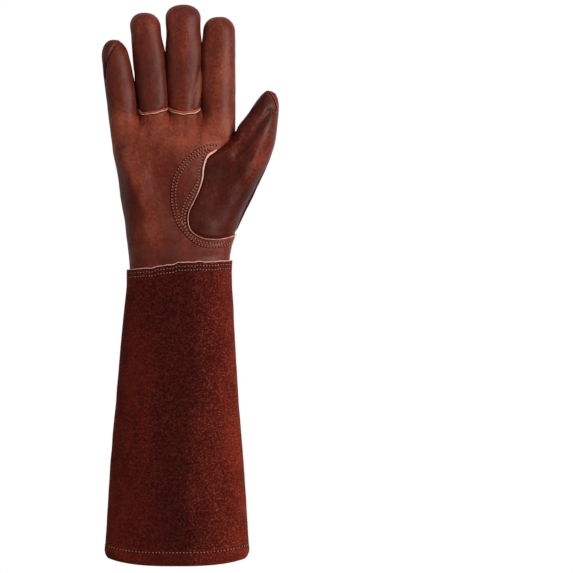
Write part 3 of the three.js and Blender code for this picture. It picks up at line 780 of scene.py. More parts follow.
def suedeLeather(name, look):
    finish = Finish(name, Specular_IOR_Level=0.06, Sheen_Weight=0.05, Sheen_Roughness=0.5)
    finish.surface.inputs["Sheen Tint"].default_value = colour(look["sheen"])
    broad = finish.noise(look["broad"], 4, 0.6, (1.0, 0.4, 1.0))
    clouds = finish.noise(look["clouds"], 3, 0.6, (1.0, 0.6, 1.0))
    mottle = finish.noise(look["mottle"], 4, 0.7)
    wrinkle = finish.noise(look["wrinkle"], 3, 0.65, (1.0, 1.25, 1.0))
    nap = finish.noise(look["nap"], 2, 0.6)
    # painted light across the cuff: a column of painted shade down its middle, more dark clouds in it, and
    # painted sheen towards the sides
    column = finish.axis("X") + (broad - 0.5) * look["wander"] - look["column"]
    away = finish.size(column)
    centre = 1 - finish.mask(away, *look["centre"])
    shade = finish.tint(look["mid"], away, (*look["sides"], look["tinted"]), look["edge"])
    shade = finish.mix(centre * look["tinted"], shade, look["dark"])
    patterns = {"clouds": clouds, "mottle": mottle, "nap": nap}
    for pattern, low, high, share, inColumn, tint in look["layers"]:
        reach = (low, high, centre * inColumn + share)
        shade = finish.tint(shade, patterns[pattern], reach, look[tint])
    # painted glints on the wrinkles, more where the cuff is lit, less under dark clouds
    low, high, share = look["dull"]
    lit = finish.mask(column, *look["lit"]) * (1 - finish.mask(clouds, low, high) * share)
    low, high, share, inLight = look["paintedGlints"]
    shade = finish.tint(shade, wrinkle, (low, high, lit * inLight + share), look["speck"])
    hem = 1 - finish.mask(finish.axis("Y"), cuff["hemDepth"] - 1, cuff["hemDepth"] + 5)
    shade = finish.mix(hem * look["hemTint"], shade, look["edge"])
    relief = sum(part * weight for part, weight in zip((nap, wrinkle, mottle, clouds), look["relief"]))
    return finish.wear(shade, look["rough"] + nap * 0.1, relief, look["depth"])


cutLook = {
    "fibre": 0.9,  # sizes in mm
    "streaks": 5,
    "fibreShare": (0.4, 0.72, 0.5),  # from, to and share of the deep colour
    "streakShare": (0.5, 0.75, 0.5),
    "rough": 0.75,
    "depth": 0.2,
}


def cutLeather(name, pale, deep, gloss=0.25):
    finish = Finish(name, Specular_IOR_Level=gloss)
    fibre = finish.noise(cutLook["fibre"], 3, 0.6)
    streaks = finish.noise(cutLook["streaks"], 3, 0.6)
    shade = finish.tint(pale, fibre, cutLook["fibreShare"], deep)
    shade = finish.tint(shade, streaks, cutLook["streakShare"], deep)
    return finish.wear(shade, cutLook["rough"] + fibre * 0.1, fibre, cutLook["depth"])


threadLook = {
    "twist": 0.55,  # sizes in mm
    "along": 9,
    "stretch": (1.0, 1.6, 1.0),
    "twistShare": (0.4, 0.62),  # from deep to pale
    "alongShare": (0.45, 0.7, 0.35),
    "rough": 0.55,
    "depth": 0.12,
}


def sewingThread(name, pale, deep):
    finish = Finish(name, Specular_IOR_Level=0.4, Sheen_Weight=0.2)
    twist = finish.noise(threadLook["twist"], 2, 0.5, threadLook["stretch"])
    along = finish.noise(threadLook["along"], 2)
    shade = finish.mix(finish.mask(twist, *threadLook["twistShare"]), deep, pale)
    shade = finish.tint(shade, along, threadLook["alongShare"], deep)
    return finish.wear(shade, threadLook["rough"] + twist * 0.2, twist, threadLook["depth"])


print("materials")
grain = grainLeather("grainLeather", grainLook)
thumbShadedGrain = grainLeather("grainLeatherThumbShaded", thumbGrainShaded)
suede = suedeLeather("suedeLeather", suedeLook)
paleEdge = cutLeather("cutEdge", (212, 158, 136), (150, 82, 64))
cuffEdge = cutLeather("cutEdgeCuff", (206, 160, 148), (126, 62, 52))
# orange of the thumb tip's cut edges, and painted highlight on the lip of finger leather above the finger base
# welt
orangeCutEdgeAndLitLip = cutLeather("cutEdgeAndLitLipOrange", (148, 66, 42), (100, 40, 27))
tanThread = sewingThread("threadTan", (172, 112, 92), (104, 52, 40))
brownThread = sewingThread("threadBrown", (168, 94, 76), (104, 48, 38))
# dark domes and beads that paint the shade in needle holes and in the thumb tip's slit
holeShade = cutLeather("needleHoleShade", (34, 11, 8), (20, 6, 5), 0.05)


# curves over the palm


def evenCurve(points, place):
    # the even Catmull-Rom curve through points, at places counted in points
    last = len(points) - 1
    i = np.minimum(place.astype(int), last - 1)
    t = (place - i)[:, None]
    p0, p1 = points[np.maximum(i - 1, 0)], points[i]
    p2, p3 = points[i + 1], points[np.minimum(i + 2, last)]
    m1, m2 = (p2 - p0) / 2, (p3 - p1) / 2
    return (2 * p1 - 2 * p2 + m1 + m2) * t**3 + (-3 * p1 + 3 * p2 - 2 * m1 - m2) * t**2 + m1 * t + p1


def planCurve(rows, at):
    # the curve through a table of shares of the hand, at places from 0 to 1
    table = np.array(rows)
    x = hand["shift"] + table[:, 0] * palmWidth
    y = cuff["length"] + table[:, 1] * hand["length"]
    return evenCurve(np.stack([x, y], -1), np.clip(at, 0, 1) * (len(rows) - 1))


def roundLine(line, steps=14):
    # the curve through a few places in millimetres, with so many steps from one to the next
    last = len(line) - 1
    return evenCurve(np.array(line, float), np.linspace(0, last, last * steps + 1))


def planTangent(rows, at):
    step = 1e-3
    return unit(planCurve(rows, np.minimum(at + step, 1)) - planCurve(rows, np.maximum(at - step, 0)))


def beside(rows, at, distance):
    # the same curve moved sideways
    tangent = planTangent(rows, at)
    return planCurve(rows, at) + np.stack([tangent[:, 1], -tangent[:, 0]], -1) * distance


def insideOutline(x, y, outline):
    # True where a place lies inside a closed line
    inside = np.zeros(len(x), bool)
    ends = np.roll(outline, -1, axis=0)
    for (x0, y0), (x1, y1) in zip(outline.tolist(), ends.tolist()):
        if y0 == y1:
            continue
        crosses = (y0 > y) != (y1 > y)
        inside ^= crosses & (x < (x1 - x0) * (y - y0) / (y1 - y0) + x0)
    return inside


def holeField(points):
    # how far a point lies outside the hole that the thumb is set into, less than 0 in the hole
    curve = planCurve(thumbSeam, np.linspace(0, 1, 400))
    beyond = hand["shift"] + palmWidth
    outline = np.concatenate([curve, [[beyond, curve[-1, 1]], [beyond, curve[0, 1]]]])
    flat = points[:, :2]
    distance = np.full(len(flat), np.inf)
    for start in range(0, len(curve), 50):
        part = curve[start : start + 50]
        gaps = np.linalg.norm(flat[:, None] - part[None], axis=-1)
        distance = np.minimum(distance, gaps.min(axis=1))
    return np.where(insideOutline(flat[:, 0], flat[:, 1], outline), -distance, distance)


def palmNormal(x, y, step=0.5):
    right = onPalm(x + step, y) - onPalm(x - step, y)
    up = onPalm(x, y + step) - onPalm(x, y - step)
    return unit(np.cross(right, up))


# beads and stitches


def settle(points, tree):
    # moves points onto the nearest place of a surface, and gives the surface's directions there
    places, ups = [], []
    for point in points.tolist():
        place, up, face, gap = tree.find_nearest(point)
        places.append(list(place))
        ups.append(list(up))
    return np.array(places), np.array(ups)


def evenly(points, step):
    # the same line with its points at even distances
    gaps = np.linalg.norm(np.diff(points, axis=0), axis=1)
    places = np.concatenate([[0], np.cumsum(gaps)])
    count = max(2, int(round(places[-1] / step)) + 1)
    at = np.linspace(0, places[-1], count)
    return np.stack([np.interp(at, places, points[:, k]) for k in range(points.shape[1])], -1)


def dropOn(tree, plan, height=60, way=-1):
    # where a plan's points land on a surface, from above or, where the way is 1, from below
    landed = []
    for x, y in plan.tolist():
        place = tree.ray_cast(Vector((x, y, height)), Vector((0, 0, way)))[0]
        if place is not None:
            landed.append(list(place))
    return np.array(landed)


def tubeFaces(first, rings, sides, turned=False):
    # the faces of a closed tube of rings, whose points start at number first
    faces = []
    for k in range(rings - 1):
        for j in range(sides):
            a, b = first + k * sides + j, first + k * sides + (j + 1) % sides
            faces.append([a, b, b + sides, a + sides] if turned else [a, a + sides, b + sides, b])
    low = [first + j for j in range(sides)]
    high = [first + (rings - 1) * sides + j for j in range(sides)]
    return faces + ([low[::-1], high] if turned else [low, high[::-1]])


def bead(name, path, ups, widths, heights, material, replaces=(), sides=14):
    # a closed rounded band along a path
    along = unit(np.gradient(path, axis=0))
    across = unit(np.cross(along, ups))
    ups = unit(np.cross(across, along))
    angles = around(sides)
    rings = []
    for k in range(len(path)):
        ring = across[k] * (np.cos(angles) * widths[k] / 2)[:, None]
        ring = ring + ups[k] * (np.sin(angles) * heights[k] / 2)[:, None]
        rings.append(path[k] + ring)
    points = np.concatenate(rings)
    faces = fixFacing(points, tubeFaces(0, len(path), sides, True))
    return addPiece(name, points, faces, material, "cut_edge", replaces, 70)


def tapered(count, ends=6):
    # a size that shrinks over the last points at both ends of a path
    k = np.arange(count)
    near = np.minimum(k, count - 1 - k) / ends
    return np.sqrt(np.clip(1 - np.square(1 - np.clip(near, 0, 1)), 0.02, 1))


def fixFacing(points, faces):
    # turns a closed mesh's faces outwards if they all face in
    volume = 0.0
    for face in faces:
        a = points[face[0]]
        for b, c in zip(face[1:], face[2:]):
            volume += np.dot(a, np.cross(points[b], points[c]))
    return [face[::-1] for face in faces] if volume < 0 else faces


# hand and fingers

handRelief = {  # in mm
    "broad": 0.55,
    "broadSize": (22, 30, 22),
    "small": 0.2,
    "smallSize": (7, 9, 7),
    "groove": 0.85,
    "grooveWidth": 1.15,
    "sideGroove": 0.25,
    "uneven": 0.2,
    "unevenSize": (5, 5, 5),
    "roll": 0.12,
    "rollAt": 2.6,
    "rollWidth": 1.3,
    "pucker": 0.2,
    "puckerPitch": 3.1,
    "puckerBelow": 5,
    "puckerLength": 4.5,
    "gatherGroove": 0.7,
    "gatherWidth": 3.2,
    "pleat": 0.45,
    "pleatPitch": 4.5,
    "pleatLength": 13,
}
creases = [  # depth and width in mm, then the line in plan; a negative depth is a fold that stands up
    (1.6, 1.1, [(-48.6, 440.6), (-51.4, 439.0), (-54.6, 435.8), (-58.4, 428), (-60.6, 420), (-61.6, 409)]),
    (-0.4, 1.3, [(-49.5, 442), (-56, 437.5), (-60, 430)]),
    (0.7, 1.9, [(18.5, 419), (16.6, 408), (13.5, 396), (11.5, 385)]),
    (-0.9, 2.0, [(20, 418), (19.4, 406), (18, 394), (16.5, 385)]),
    (-1.6, 8.5, [(-47, 345), (-38, 326), (-26, 304), (-13, 281)]),
    (0.6, 4.5, [(-51, 366), (-49, 346), (-45, 324)]),
    (1.0, 9.0, [(-20, 335), (-9, 315), (-1, 292)]),
    (0.9, 5.5, [(24, 372), (36, 366), (46, 360)]),
    (-0.8, 5.0, [(-34, 366), (-12, 370), (12, 368)]),
    (0.5, 2.6, [(-44, 380), (-46, 369), (-45, 356)]),
    (0.45, 2.4, [(-26, 378), (-25, 370), (-26, 361)]),
    (0.45, 2.6, [(4, 379), (6, 370), (5, 362)]),
    (0.6, 3.2, [(-38, 268), (-16, 271), (6, 270), (22, 274)]),
    (-0.5, 3.5, [(-38, 262), (-14, 264), (12, 263)]),
]
closings = [(0, 400, 0.9), (1, 432, 1.25), (2, 436, 1.1)]  # finger, y where it opens, swell in mm
baseSlant = [(-33, -2.6, 6.5), (-14, 1.3, 6)]  # x, how far the ring finger's base line moves up, half width
slantReach = {"below": 4, "long": 11, "above": 11, "fade": 6}
gatherY = cuff["length"] + gather["along"] * hand["length"]
fronts = ["palm_panel", "ring_front", "middle_front", "palm_panel"]
strips = ["fourchette_ring_little", "fourchette_middle_ring", "fourchette_index_middle"]


def handSkin():
    # the whole skin of the hand without the thumb, before its folds
    skin = Skin()
    columns = []
    for index, finger in enumerate(fingers):
        straight = 1 - finger["round"] * finger["width"] / finger["length"]
        inTip = np.sin(np.arange(1, meshing["tip"] + 1) / meshing["tip"] * math.pi / 2)
        rows = np.concatenate([straight * spaced(meshing["straight"]), lerp(straight, 1, inTip)])
        joinShare = lerp(straight, 1, 0.5)
        rings = [ringAngles(index, share, joinShare) for share in rows]
        names = {"palm": fronts[index], "back": "back_panel"}
        if index > 0:
            names["littleStrip"] = strips[index - 1]
        if index < len(strips):
            names["thumbStrip"] = strips[index]
        for part, piece in names.items():
            grid = [fingerPoint(index, ring[part], share) for ring, share in zip(rings, rows)]
            skin.add(piece, grid[::-1])
        columns.append(rings[0])
    shares = spaced(meshing["handRows"]) ** 1.2
    for piece, part, order in (("palm_panel", "palm", [3, 2, 1, 0]), ("back_panel", "back", [0, 1, 2, 3])):
        rows = []
        for share in shares:
            rows.append(np.concatenate([columnPoint(index, columns[index][part], share) for index in order]))
        skin.add(piece, rows)
    for index, piece in enumerate(strips):
        little = columnPoint(index, columns[index]["thumbStrip"][::-1], 0)
        thumbSide = columnPoint(index + 1, columns[index + 1]["littleStrip"], 0)
        skin.add(piece, [thumbSide, little])
    return skin.weld()


def pressLines(skin, table):
    # how deep each point is pressed in by the creases that lie over it
    points = skin.points
    tree = BVHTree.FromPolygons(points.tolist(), corners(skin.cells))
    pressed = np.zeros(len(points))
    for deep, wide, line in table:
        landed = dropOn(tree, roundLine(line))
        near = np.abs(points[:, 0] - landed[:, 0].mean()) < np.ptp(landed[:, 0]) / 2 + 3 * wide
        near &= np.abs(points[:, 1] - landed[:, 1].mean()) < np.ptp(landed[:, 1]) / 2 + 3 * wide
        away = nearest(points[near], landed)
        pressed[near] += deep * hill(away / wide)
    return pressed


def closeFingers(points, normals):
    # how far the sides of the fingers swell towards each other
    x, y = points[:, 0], points[:, 1]
    swell = np.zeros(len(points))
    for index, top, deep in closings:
        middles = []
        for finger in (index, index + 1):
            row = fingers[finger]
            along = np.clip((y - crotchY) / row["length"], 0, 1)
            middles.append(fingerBase(finger) + row["lean"] * row["length"] * along)
        left, right = middles
        facing = np.where(x < (left + right) / 2, normals[:, 0], -normals[:, 0])
        window = smooth((y - crotchY + 4) / 7) * (1 - smooth((y - top) / 16))
        between = (x > left) & (x < right)
        swell += between * deep * window * smooth((facing - 0.15) / 0.6)
    return swell


def slantBase(points):
    # shifts the palm's side of the leather along the hand where that line slants
    rise = sum(up * hill((points[:, 0] - x) / wide) for x, up, wide in baseSlant)
    near = hill((points[:, 1] - crotchY + slantReach["below"]) / slantReach["long"])
    near = near * smooth((points[:, 2] - slantReach["above"]) / slantReach["fade"])
    return points + stack(0, rise * near, 0)


def shapeHand(skin, look):
    # lays folds, rolled seams and puckers into the skin of the hand
    points = skin.points
    x, y = points[:, 0], points[:, 1]
    middle, half, top, seam, floor = handSection(np.minimum(y, crotchY))
    # cells are so thin along the little finger's side that their directions are given
    littleSide = (x < middle - half + 2.5) & (np.abs(points[:, 2] - seam) < 2.5) & (y < crotchY)
    skin.normals[littleSide & (skin.normals[:, 0] > -0.8)] = [-1, 0, 0]
    free = smooth((y - cuff["length"] - cuff["tilt"] / 2 - 2) / 12)
    far = nearest(points, skin.seamPoints())
    lift = unevenness(points, look, 0, 5)
    uneven = 1 + look["uneven"] * ripple(points, look["unevenSize"], 11)
    inFingers = lerp(look["sideGroove"], 1, smooth((y - crotchY + 24) / 30))
    lift -= look["groove"] * inFingers * uneven * hill(far / look["grooveWidth"])
    lift += closeFingers(points, skin.normals)
    lift += look["roll"] * uneven * hill((far - look["rollAt"]) / look["rollWidth"])
    back = skin.normals[:, 2] < -0.75
    pleats = np.abs(np.sin(math.pi * x / look["pleatPitch"] + 1.3 * ripple(points, (11, 14, 11), 3)))
    lift -= back * look["gatherGroove"] * hill((y - gatherY) / look["gatherWidth"])
    lift -= back * look["pleat"] * (1 - pleats) * hill((y - gatherY) / look["pleatLength"])
    below = y - (crotchY - hand["baseDip"] - look["puckerBelow"])
    underWelt = (x > fingerBase(1) - 12) & (x < fingerBase(2) + 13) & ~back
    waves = 2 * math.pi * x / look["puckerPitch"] + 2 * ripple(points, (9, 9, 9), 8)
    lift += look["pucker"] * np.sin(waves) * hill(below / look["puckerLength"]) * underWelt
    lift -= pressLines(skin, creases)
    before = skin.normals
    skin.points = points + before * (lift * free)[:, None]
    skin.findNormals()
    turned = (skin.normals * before).sum(axis=1) < 0.6
    skin.normals[turned] = before[turned]
    skin.points = slantBase(skin.points)


print("hand")
handLeather = handSkin()
shapeHand(handLeather, handRelief)
for node in ("back_panel", *fronts[1:3], *strips):
    faces = corners(handLeather.cells[handLeather.owners == node])
    sheet = wall(handLeather.points, handLeather.normals, faces)
    words = node.split("_")
    name = words[0] + "".join(word.capitalize() for word in words[1:])
    addPiece(name, *sheet, grain, "grain_leather", (node,))

holeRoll = {"deep": 0.9, "wide": 1.6}  # how the palm rolls in at the hole for the thumb
palmCells = handLeather.cells[handLeather.owners == "palm_panel"]
hole = holeField(handLeather.points) - walls["seamGap"] / 2
roll = holeRoll["deep"] * hill(hole / holeRoll["wide"])
sunk = handLeather.points - handLeather.normals * roll[:, None]
palmPoints, palmNormals, palmFaces = clip(sunk, handLeather.normals, palmCells, hole)
sheet = wall(palmPoints, palmNormals, palmFaces)
addPiece("palmPanel", *sheet, grain, "grain_leather", ("palm_panel",))
palmTree = BVHTree.FromPolygons(palmPoints.tolist(), palmFaces)
handTree = BVHTree.FromPolygons(handLeather.points.tolist(), corners(handLeather.cells))


# thumb

thumbLook = {
    "seamSteps": 150,
    "backSteps": 46,
    "leading": 56,
    "free": 60,
    "inward": 0.9,  # how much the leather leaves the seam towards the palm's middle
    "smoothing": 80,
    "smoothShare": 0.25,
}
thumbRelief = {
    "broad": 0.5,
    "broadSize": (17, 22, 17),
    "small": 0.18,
    "smallSize": (6, 7, 6),
    "groove": 0.75,
    "grooveWidth": 1.5,
}
crotchFill = {"x": 53, "y": 369, "wide": 6.5, "long": 9, "push": 3.4}  # brings the thumb to the index finger
tipSeam = [(77.5, 397.6), (80.6, 393.5), (83.0, 388.0), (83.6, 383.5), (82.0, 380.6)]
thumbCreases = [  # depth and width in mm, then the line in plan
    (1.3, 1.0, tipSeam),
    (2.0, 3.8, [(78, 381), (70, 371), (60.6, 356.6), (50, 345)]),
    (-0.7, 5.5, [(74, 362), (67, 344), (59, 328)]),
    (0.9, 8.0, [(42, 332), (34, 312), (30, 294)]),
    (-0.7, 7.0, [(60, 316), (52, 300), (44, 288)]),
]


def thumbEdge(phi):
    # where the thumb's leather starts: over the palm to 180 degrees, then back under the hand
    index = len(fingers) - 1
    middle, half, top, seam, floor = handSection(crotchY)
    seamX = fingerBase(index) + fingers[index]["width"] / 2 * math.cos(math.radians(seams["index"]))
    plan = planCurve(thumbSeam, np.clip(1 - phi / 180, 0, 1))
    over = onPalm(plan[:, 0], plan[:, 1])
    ends = planCurve(thumbSeam, np.array([0.0, 1.0]))
    t = np.clip((phi - 180) / 180, 0, 1)
    y = lerp(ends[0, 1], ends[1, 1], t)
    across = np.full(len(phi), (seamX - middle) / half)
    under = handPoint(-1, across, y)
    side = handPoint(1, np.ones(len(phi)), y)
    share = smooth(np.minimum(t, 1 - t) / 0.06)[:, None]
    return np.where((phi <= 180)[:, None], over, lerp(side, under, share))


def thumbRing(phi, along):
    # a ring of the free thumb, from 0 at its root to 1 at its tip
    heading = math.radians(thumb["heading"])
    forward = np.array([math.sin(heading), math.cos(heading)])
    outward = np.array([forward[1], -forward[0]])
    crotch = planCurve(thumbSeam, np.array([0.0]))[0]
    root = crotch + outward * (thumb["width"] / 2 + thumb["crotchEase"]) + forward * thumb["crotchEase"]
    across, up, width, thick = (float(readTable(thumbSections, along, column)) for column in (1, 2, 3, 4))
    middle = root + np.array([across, up]) * thumb["length"]
    half = thumb["width"] * width * np.cos(np.radians(phi))
    z = hand["height"] * thumb["axis"] + thumb["thickness"] * thick * np.sin(np.radians(phi))
    return stack(middle[0] + half * outward[0], middle[1] + half * outward[1], z)


def thumbSkin(look):
    heading = math.radians(thumb["heading"])
    forward = np.array([math.sin(heading), math.cos(heading), 0])
    overPalm = np.arange(look["seamSteps"]) * 180 / look["seamSteps"]
    under = 180 + np.arange(look["backSteps"]) * 180 / look["backSteps"]
    phi = np.concatenate([overPalm, under, [0]])
    start, end = thumbEdge(phi), thumbRing(phi, 0)
    reach = end - start
    reach[:, 2] = 0
    length = np.linalg.norm(reach, axis=1, keepdims=True) * thumb["reach"]
    leaving = unit(reach)
    tangent = planTangent(thumbSeam, 1 - np.minimum(phi, 180) / 180)
    inward = stack(-tangent[:, 1], tangent[:, 0], 0)
    bow = np.maximum(0, np.sin(np.radians(phi))) ** 0.5 * (phi <= 180)
    leaving += inward * (look["inward"] * bow)[:, None]
    leaving = unit(leaving) * length
    arriving = forward * length
    rings = []
    for t in spaced(look["leading"]) ** 1.1:
        t2, t3 = t * t, t * t * t
        row = start * (2 * t3 - 3 * t2 + 1) + leaving * (t3 - 2 * t2 + t)
        rings.append(row + end * (3 * t2 - 2 * t3) + arriving * (t3 - t2))
    for along in np.sin(np.arange(1, look["free"] + 1) / look["free"] * math.pi / 2):
        rings.append(thumbRing(phi, along))
    rings = np.array(rings)
    for turn in range(look["smoothing"]):
        bend = rings[11:-11] - 2 * rings[12:-10] + rings[13:-9]
        rings[12:-10] += look["smoothShare"] * bend
    skin = Skin()
    skin.add("thumb", rings[::-1])
    return skin.weld(), start, phi


def shapeThumb(skin, start, phi, look):
    # the thumb's folds, with its base held on the palm along the seam
    points = skin.points
    fromBase = nearest(points, start)
    nearCrotch = np.square((points[:, 0] - crotchFill["x"]) / crotchFill["wide"])
    nearCrotch = nearCrotch + np.square((points[:, 1] - crotchFill["y"]) / crotchFill["long"])
    points[:, 0] -= crotchFill["push"] * np.exp(-nearCrotch) * smooth(fromBase / 4)
    skin.findNormals()
    over = start[phi <= 180]
    edgeNormals = palmNormal(over[:, 0], over[:, 1])
    baseTree = placeTree(over)
    for k in np.nonzero(fromBase < 1e-3)[0]:
        place, number, gap = baseTree.find(points[k].tolist())
        if gap < 1e-2 and 0 < number < len(over) - 1:
            skin.normals[k] = edgeNormals[number]
    lift = unevenness(points, look, 21, 33) * smooth(fromBase / 6)
    lift -= look["groove"] * hill(fromBase / look["grooveWidth"])
    lift -= pressLines(skin, thumbCreases) * smooth((fromBase - 0.3) / 5)
    before = skin.normals.copy()
    skin.points = points + before * lift[:, None]
    skin.findNormals()
    held = (fromBase < 1e-3) | ((skin.normals * before).sum(axis=1) < 0.6)
    skin.normals[held] = before[held]


print("thumb")
thumbLeather, thumbStart, thumbPhi = thumbSkin(thumbLook)
shapeThumb(thumbLeather, thumbStart, thumbPhi, thumbRelief)
faces = corners(thumbLeather.cells)
thumbTree = BVHTree.FromPolygons(thumbLeather.points.tolist(), faces)
sheet = wall(thumbLeather.points, thumbLeather.normals, faces)
addPiece("thumb", *sheet, thumbShadedGrain, "grain_leather", ("thumb",))

slitLook = {"apart": 0.95, "edgeWidth": 0.75, "edgeHeight": 0.7, "width": 1.1, "height": 0.9}
tipPath = roundLine(tipSeam)
along = unit(np.gradient(tipPath, axis=0))
for side, number in ((-1, "Left"), (1, "Right")):
    line = tipPath + np.stack([along[:, 1], -along[:, 0]], -1) * side * slitLook["apart"]
    line = dropOn(thumbTree, line)
    size = tapered(len(line), 8)
    sizes = (slitLook["edgeWidth"] * size, slitLook["edgeHeight"] * size)
    bead("thumbTipEdge" + number, line, upwards, *sizes, orangeCutEdgeAndLitLip)


# crescent round the thumb seam

patchLook = {
    "steps": 260,
    "across": 60,
    "from": 1.6 / 15,  # along the thumb seam
    "to": 1 - 0.8 / 15,
    "clear": 2.45,
    "ramp": 2.6,
    "sunk": -0.12,
    "stand": 0.7,
    "thick": 0.9,
}


def crescent(look):
    # the crescent's face, laid on the palm with its rim rolled down
    along = spaced(look["steps"])
    near = beside(thumbSeam, lerp(look["from"], look["to"], along), look["clear"])
    far = planCurve(patchEdge, along)
    plan = np.stack([lerp(far, near, share) for share in spaced(look["across"], 0.6)])
    flat = plan.reshape(-1, 2)
    base = onPalm(flat[:, 0], flat[:, 1])
    normals = palmNormal(flat[:, 0], flat[:, 1])
    for k, (place, up) in enumerate(zip(base.tolist(), normals.tolist())):
        hit = palmTree.ray_cast(Vector(place) + Vector(up) * 6, -Vector(up), 12)[0]
        if hit is not None:
            base[k] = hit
    rim = np.concatenate([plan[0], plan[-1], plan[:, 0], plan[:, -1]])
    toRim = nearest(stack(flat[:, 0], flat[:, 1], 0), stack(rim[:, 0], rim[:, 1], 0))
    ramp = np.sin(np.clip(toRim / look["ramp"], 0, 1) * math.pi / 2)
    height = look["sunk"] + (look["stand"] - look["sunk"]) * ramp
    cells = gridCells(np.arange(len(flat)).reshape(plan.shape[:2]))
    skin = Skin()
    skin.points = base + normals * height[:, None]
    a, b, c, d = skin.points[cells[0]]
    skin.cells = cells[:, ::-1] if np.cross(c - a, d - b)[2] < 0 else cells
    skin.findNormals()
    return skin


print("crescent")
patch = crescent(patchLook)
faces = patch.cells.tolist()
patchTree = BVHTree.FromPolygons(patch.points.tolist(), faces)
sheet = wall(patch.points, patch.normals, faces, patchLook["thick"], 0)
addPiece("thumbPatch", *sheet, grain, "grain_leather", ("thumb_patch",))


# welts

weltLook = {
    "from": 0.125,  # along the thumb seam
    "to": 0.968,
    "clear": 0.95,
    "stand": 0.75,
    "wideTop": 1.8,
    "wideEnd": 0.55,
    "height": 2.1,
    "uneven": 0.22,
    "step": 0.7,
}
at = np.linspace(weltLook["from"], weltLook["to"], 260)
line = evenly(beside(thumbSeam, at, weltLook["clear"]), weltLook["step"])
path = onPalm(line[:, 0], line[:, 1])
ups = palmNormal(line[:, 0], line[:, 1])
ends = tapered(len(line))
share = np.linspace(0, 1, len(line))
widths = lerp(weltLook["wideTop"], weltLook["wideEnd"], smooth((share - 0.1) / 0.42))
widths = widths * (1 + weltLook["uneven"] * ripple(settle(path, palmTree)[0], (4, 4, 4), 9)) * ends
path = path + ups * weltLook["stand"]
bead("thumbWelt", path, ups, widths, weltLook["height"] * ends + 0.01, paleEdge, ("thumb_welt",))

baseLook = {
    "wave": 0.45,
    "waveSize": (4.5, 4.5, 4.5),
    "uneven": 0.5,
    "unevenSize": (3, 3, 3),
    "pale": {"along": -0.75, "up": 0.45, "width": 0.95, "wider": 0.25, "height": 2.2},
    "litLip": {"along": 0.45, "up": 0.9, "width": 1.3, "wider": 0.9, "height": 1.9},
}
theta = lerp(180 - seams["palm"], seams["palm"], np.linspace(0, 1, 40))
line = evenly(slantBase(np.concatenate([columnPoint(index, theta, 0) for index in (1, 2)])), weltLook["step"])
share = np.linspace(0, 1, len(line))
wave = baseLook["wave"] * ripple(line, baseLook["waveSize"], 2)
row = baseLook["pale"]
ends = tapered(len(line))
widths = (row["width"] + row["wider"] * smooth((share - 0.45) / 0.2)) * ends
widths = widths * (1 + baseLook["uneven"] * ripple(line, baseLook["unevenSize"], 2))
lowered = line + stack(0, wave + row["along"], row["up"])
bead("fingerBaseWelt", lowered, upwards, widths, row["height"] * ends, paleEdge, ("finger_base_welt",))
# the lip of finger leather above the welt, its orange a painted highlight
row = baseLook["litLip"]
ends = tapered(len(line), 10)
widths = (row["width"] + row["wider"] * smooth((share - 0.5) / 0.15)) * ends
raised = line + stack(0, wave + row["along"], row["up"])
bead("fingerBaseLitLip", raised, upwards, widths, row["height"] * ends, orangeCutEdgeAndLitLip)


# stitches

stitchLook = {
    "pitch": 2.6,
    "length": 1.6,
    "uneven": (0.9, 1.08),  # shares of the length
    "width": 1.05,
    "ends": 0.45,  # share of the width
    "flat": 0.8,
    "rise": 0.4,
    "start": 0.15,  # share of the pitch
    "shake": 0.12,
    "lean": 0.2,
    "hole": 0.81,  # share of the pitch from the stitch's start
    "sides": 7,
    "rings": 7,
}


def stitches(path, ups, look, seed):
    # a row of sewn stitches along a path that lies on the leather, and the places of the needle's holes
    chance = np.random.default_rng(seed)
    gaps = np.linalg.norm(np.diff(path, axis=0), axis=1)
    places = np.concatenate([[0], np.cumsum(gaps)])
    sides, rings = look["sides"], look["rings"]
    angles = around(sides)
    s = np.linspace(0, 1, rings)
    swell = np.sqrt(np.clip(1 - np.square(2 * s - 1), 0.06, 1))
    points, faces, holes = [], [], []
    for number in range(int(places[-1] / look["pitch"])):
        start = (number + look["start"]) * look["pitch"] + chance.uniform(-look["shake"], look["shake"])
        at = start + look["length"] * chance.uniform(*look["uneven"]) * s
        centre = np.stack([np.interp(at, places, path[:, k]) for k in range(3)], -1)
        up = unit(np.stack([np.interp(at, places, ups[:, k]) for k in range(3)], -1))
        across = unit(np.cross(unit(np.gradient(centre, axis=0)), up))
        lean = chance.uniform(-look["lean"], look["lean"]) * (s - 0.5)
        centre = centre + up * ((swell - 0.5) * look["rise"])[:, None] + across * lean[:, None]
        base = len(points) * sides
        for k in range(rings):
            radius = look["width"] / 2 * lerp(look["ends"], 1, swell[k])
            ring = across[k] * (np.cos(angles) * radius)[:, None]
            points.append(centre[k] + ring + up[k] * (np.sin(angles) * radius * look["flat"])[:, None])
        faces += tubeFaces(base, rings, sides)
        needle = start + look["pitch"] * look["hole"]
        holes.append([np.interp(needle, places, path[:, k]) for k in range(3)])
    return np.concatenate(points), faces, np.array(holes)


holeLook = {
    "radius": 0.92,
    "flat": 0.14,
    "sides": 8,
    "rings": [(1.0, -1.0), (0.95, 0.25), (0.5, 0.6)],  # shares of the radius and of the flatness
}


def needleHoles(places, ups, look):
    # painted shade of the needle's holes: small dark dimples, as flat domes that just clear the leather
    angles = around(look["sides"])
    points, faces = [], []
    for place, up in zip(places, ups):
        first = unit(np.cross(up, np.array([0.3, 0.9, 0.2])))
        second = np.cross(up, first)
        base = len(points) * look["sides"]
        for radius, height in look["rings"]:
            ring = first * np.cos(angles)[:, None] + second * np.sin(angles)[:, None]
            points.append(place + ring * look["radius"] * radius + up * look["flat"] * height)
        faces += [face[::-1] for face in tubeFaces(base, len(look["rings"]), look["sides"])]
    return np.concatenate(points), faces


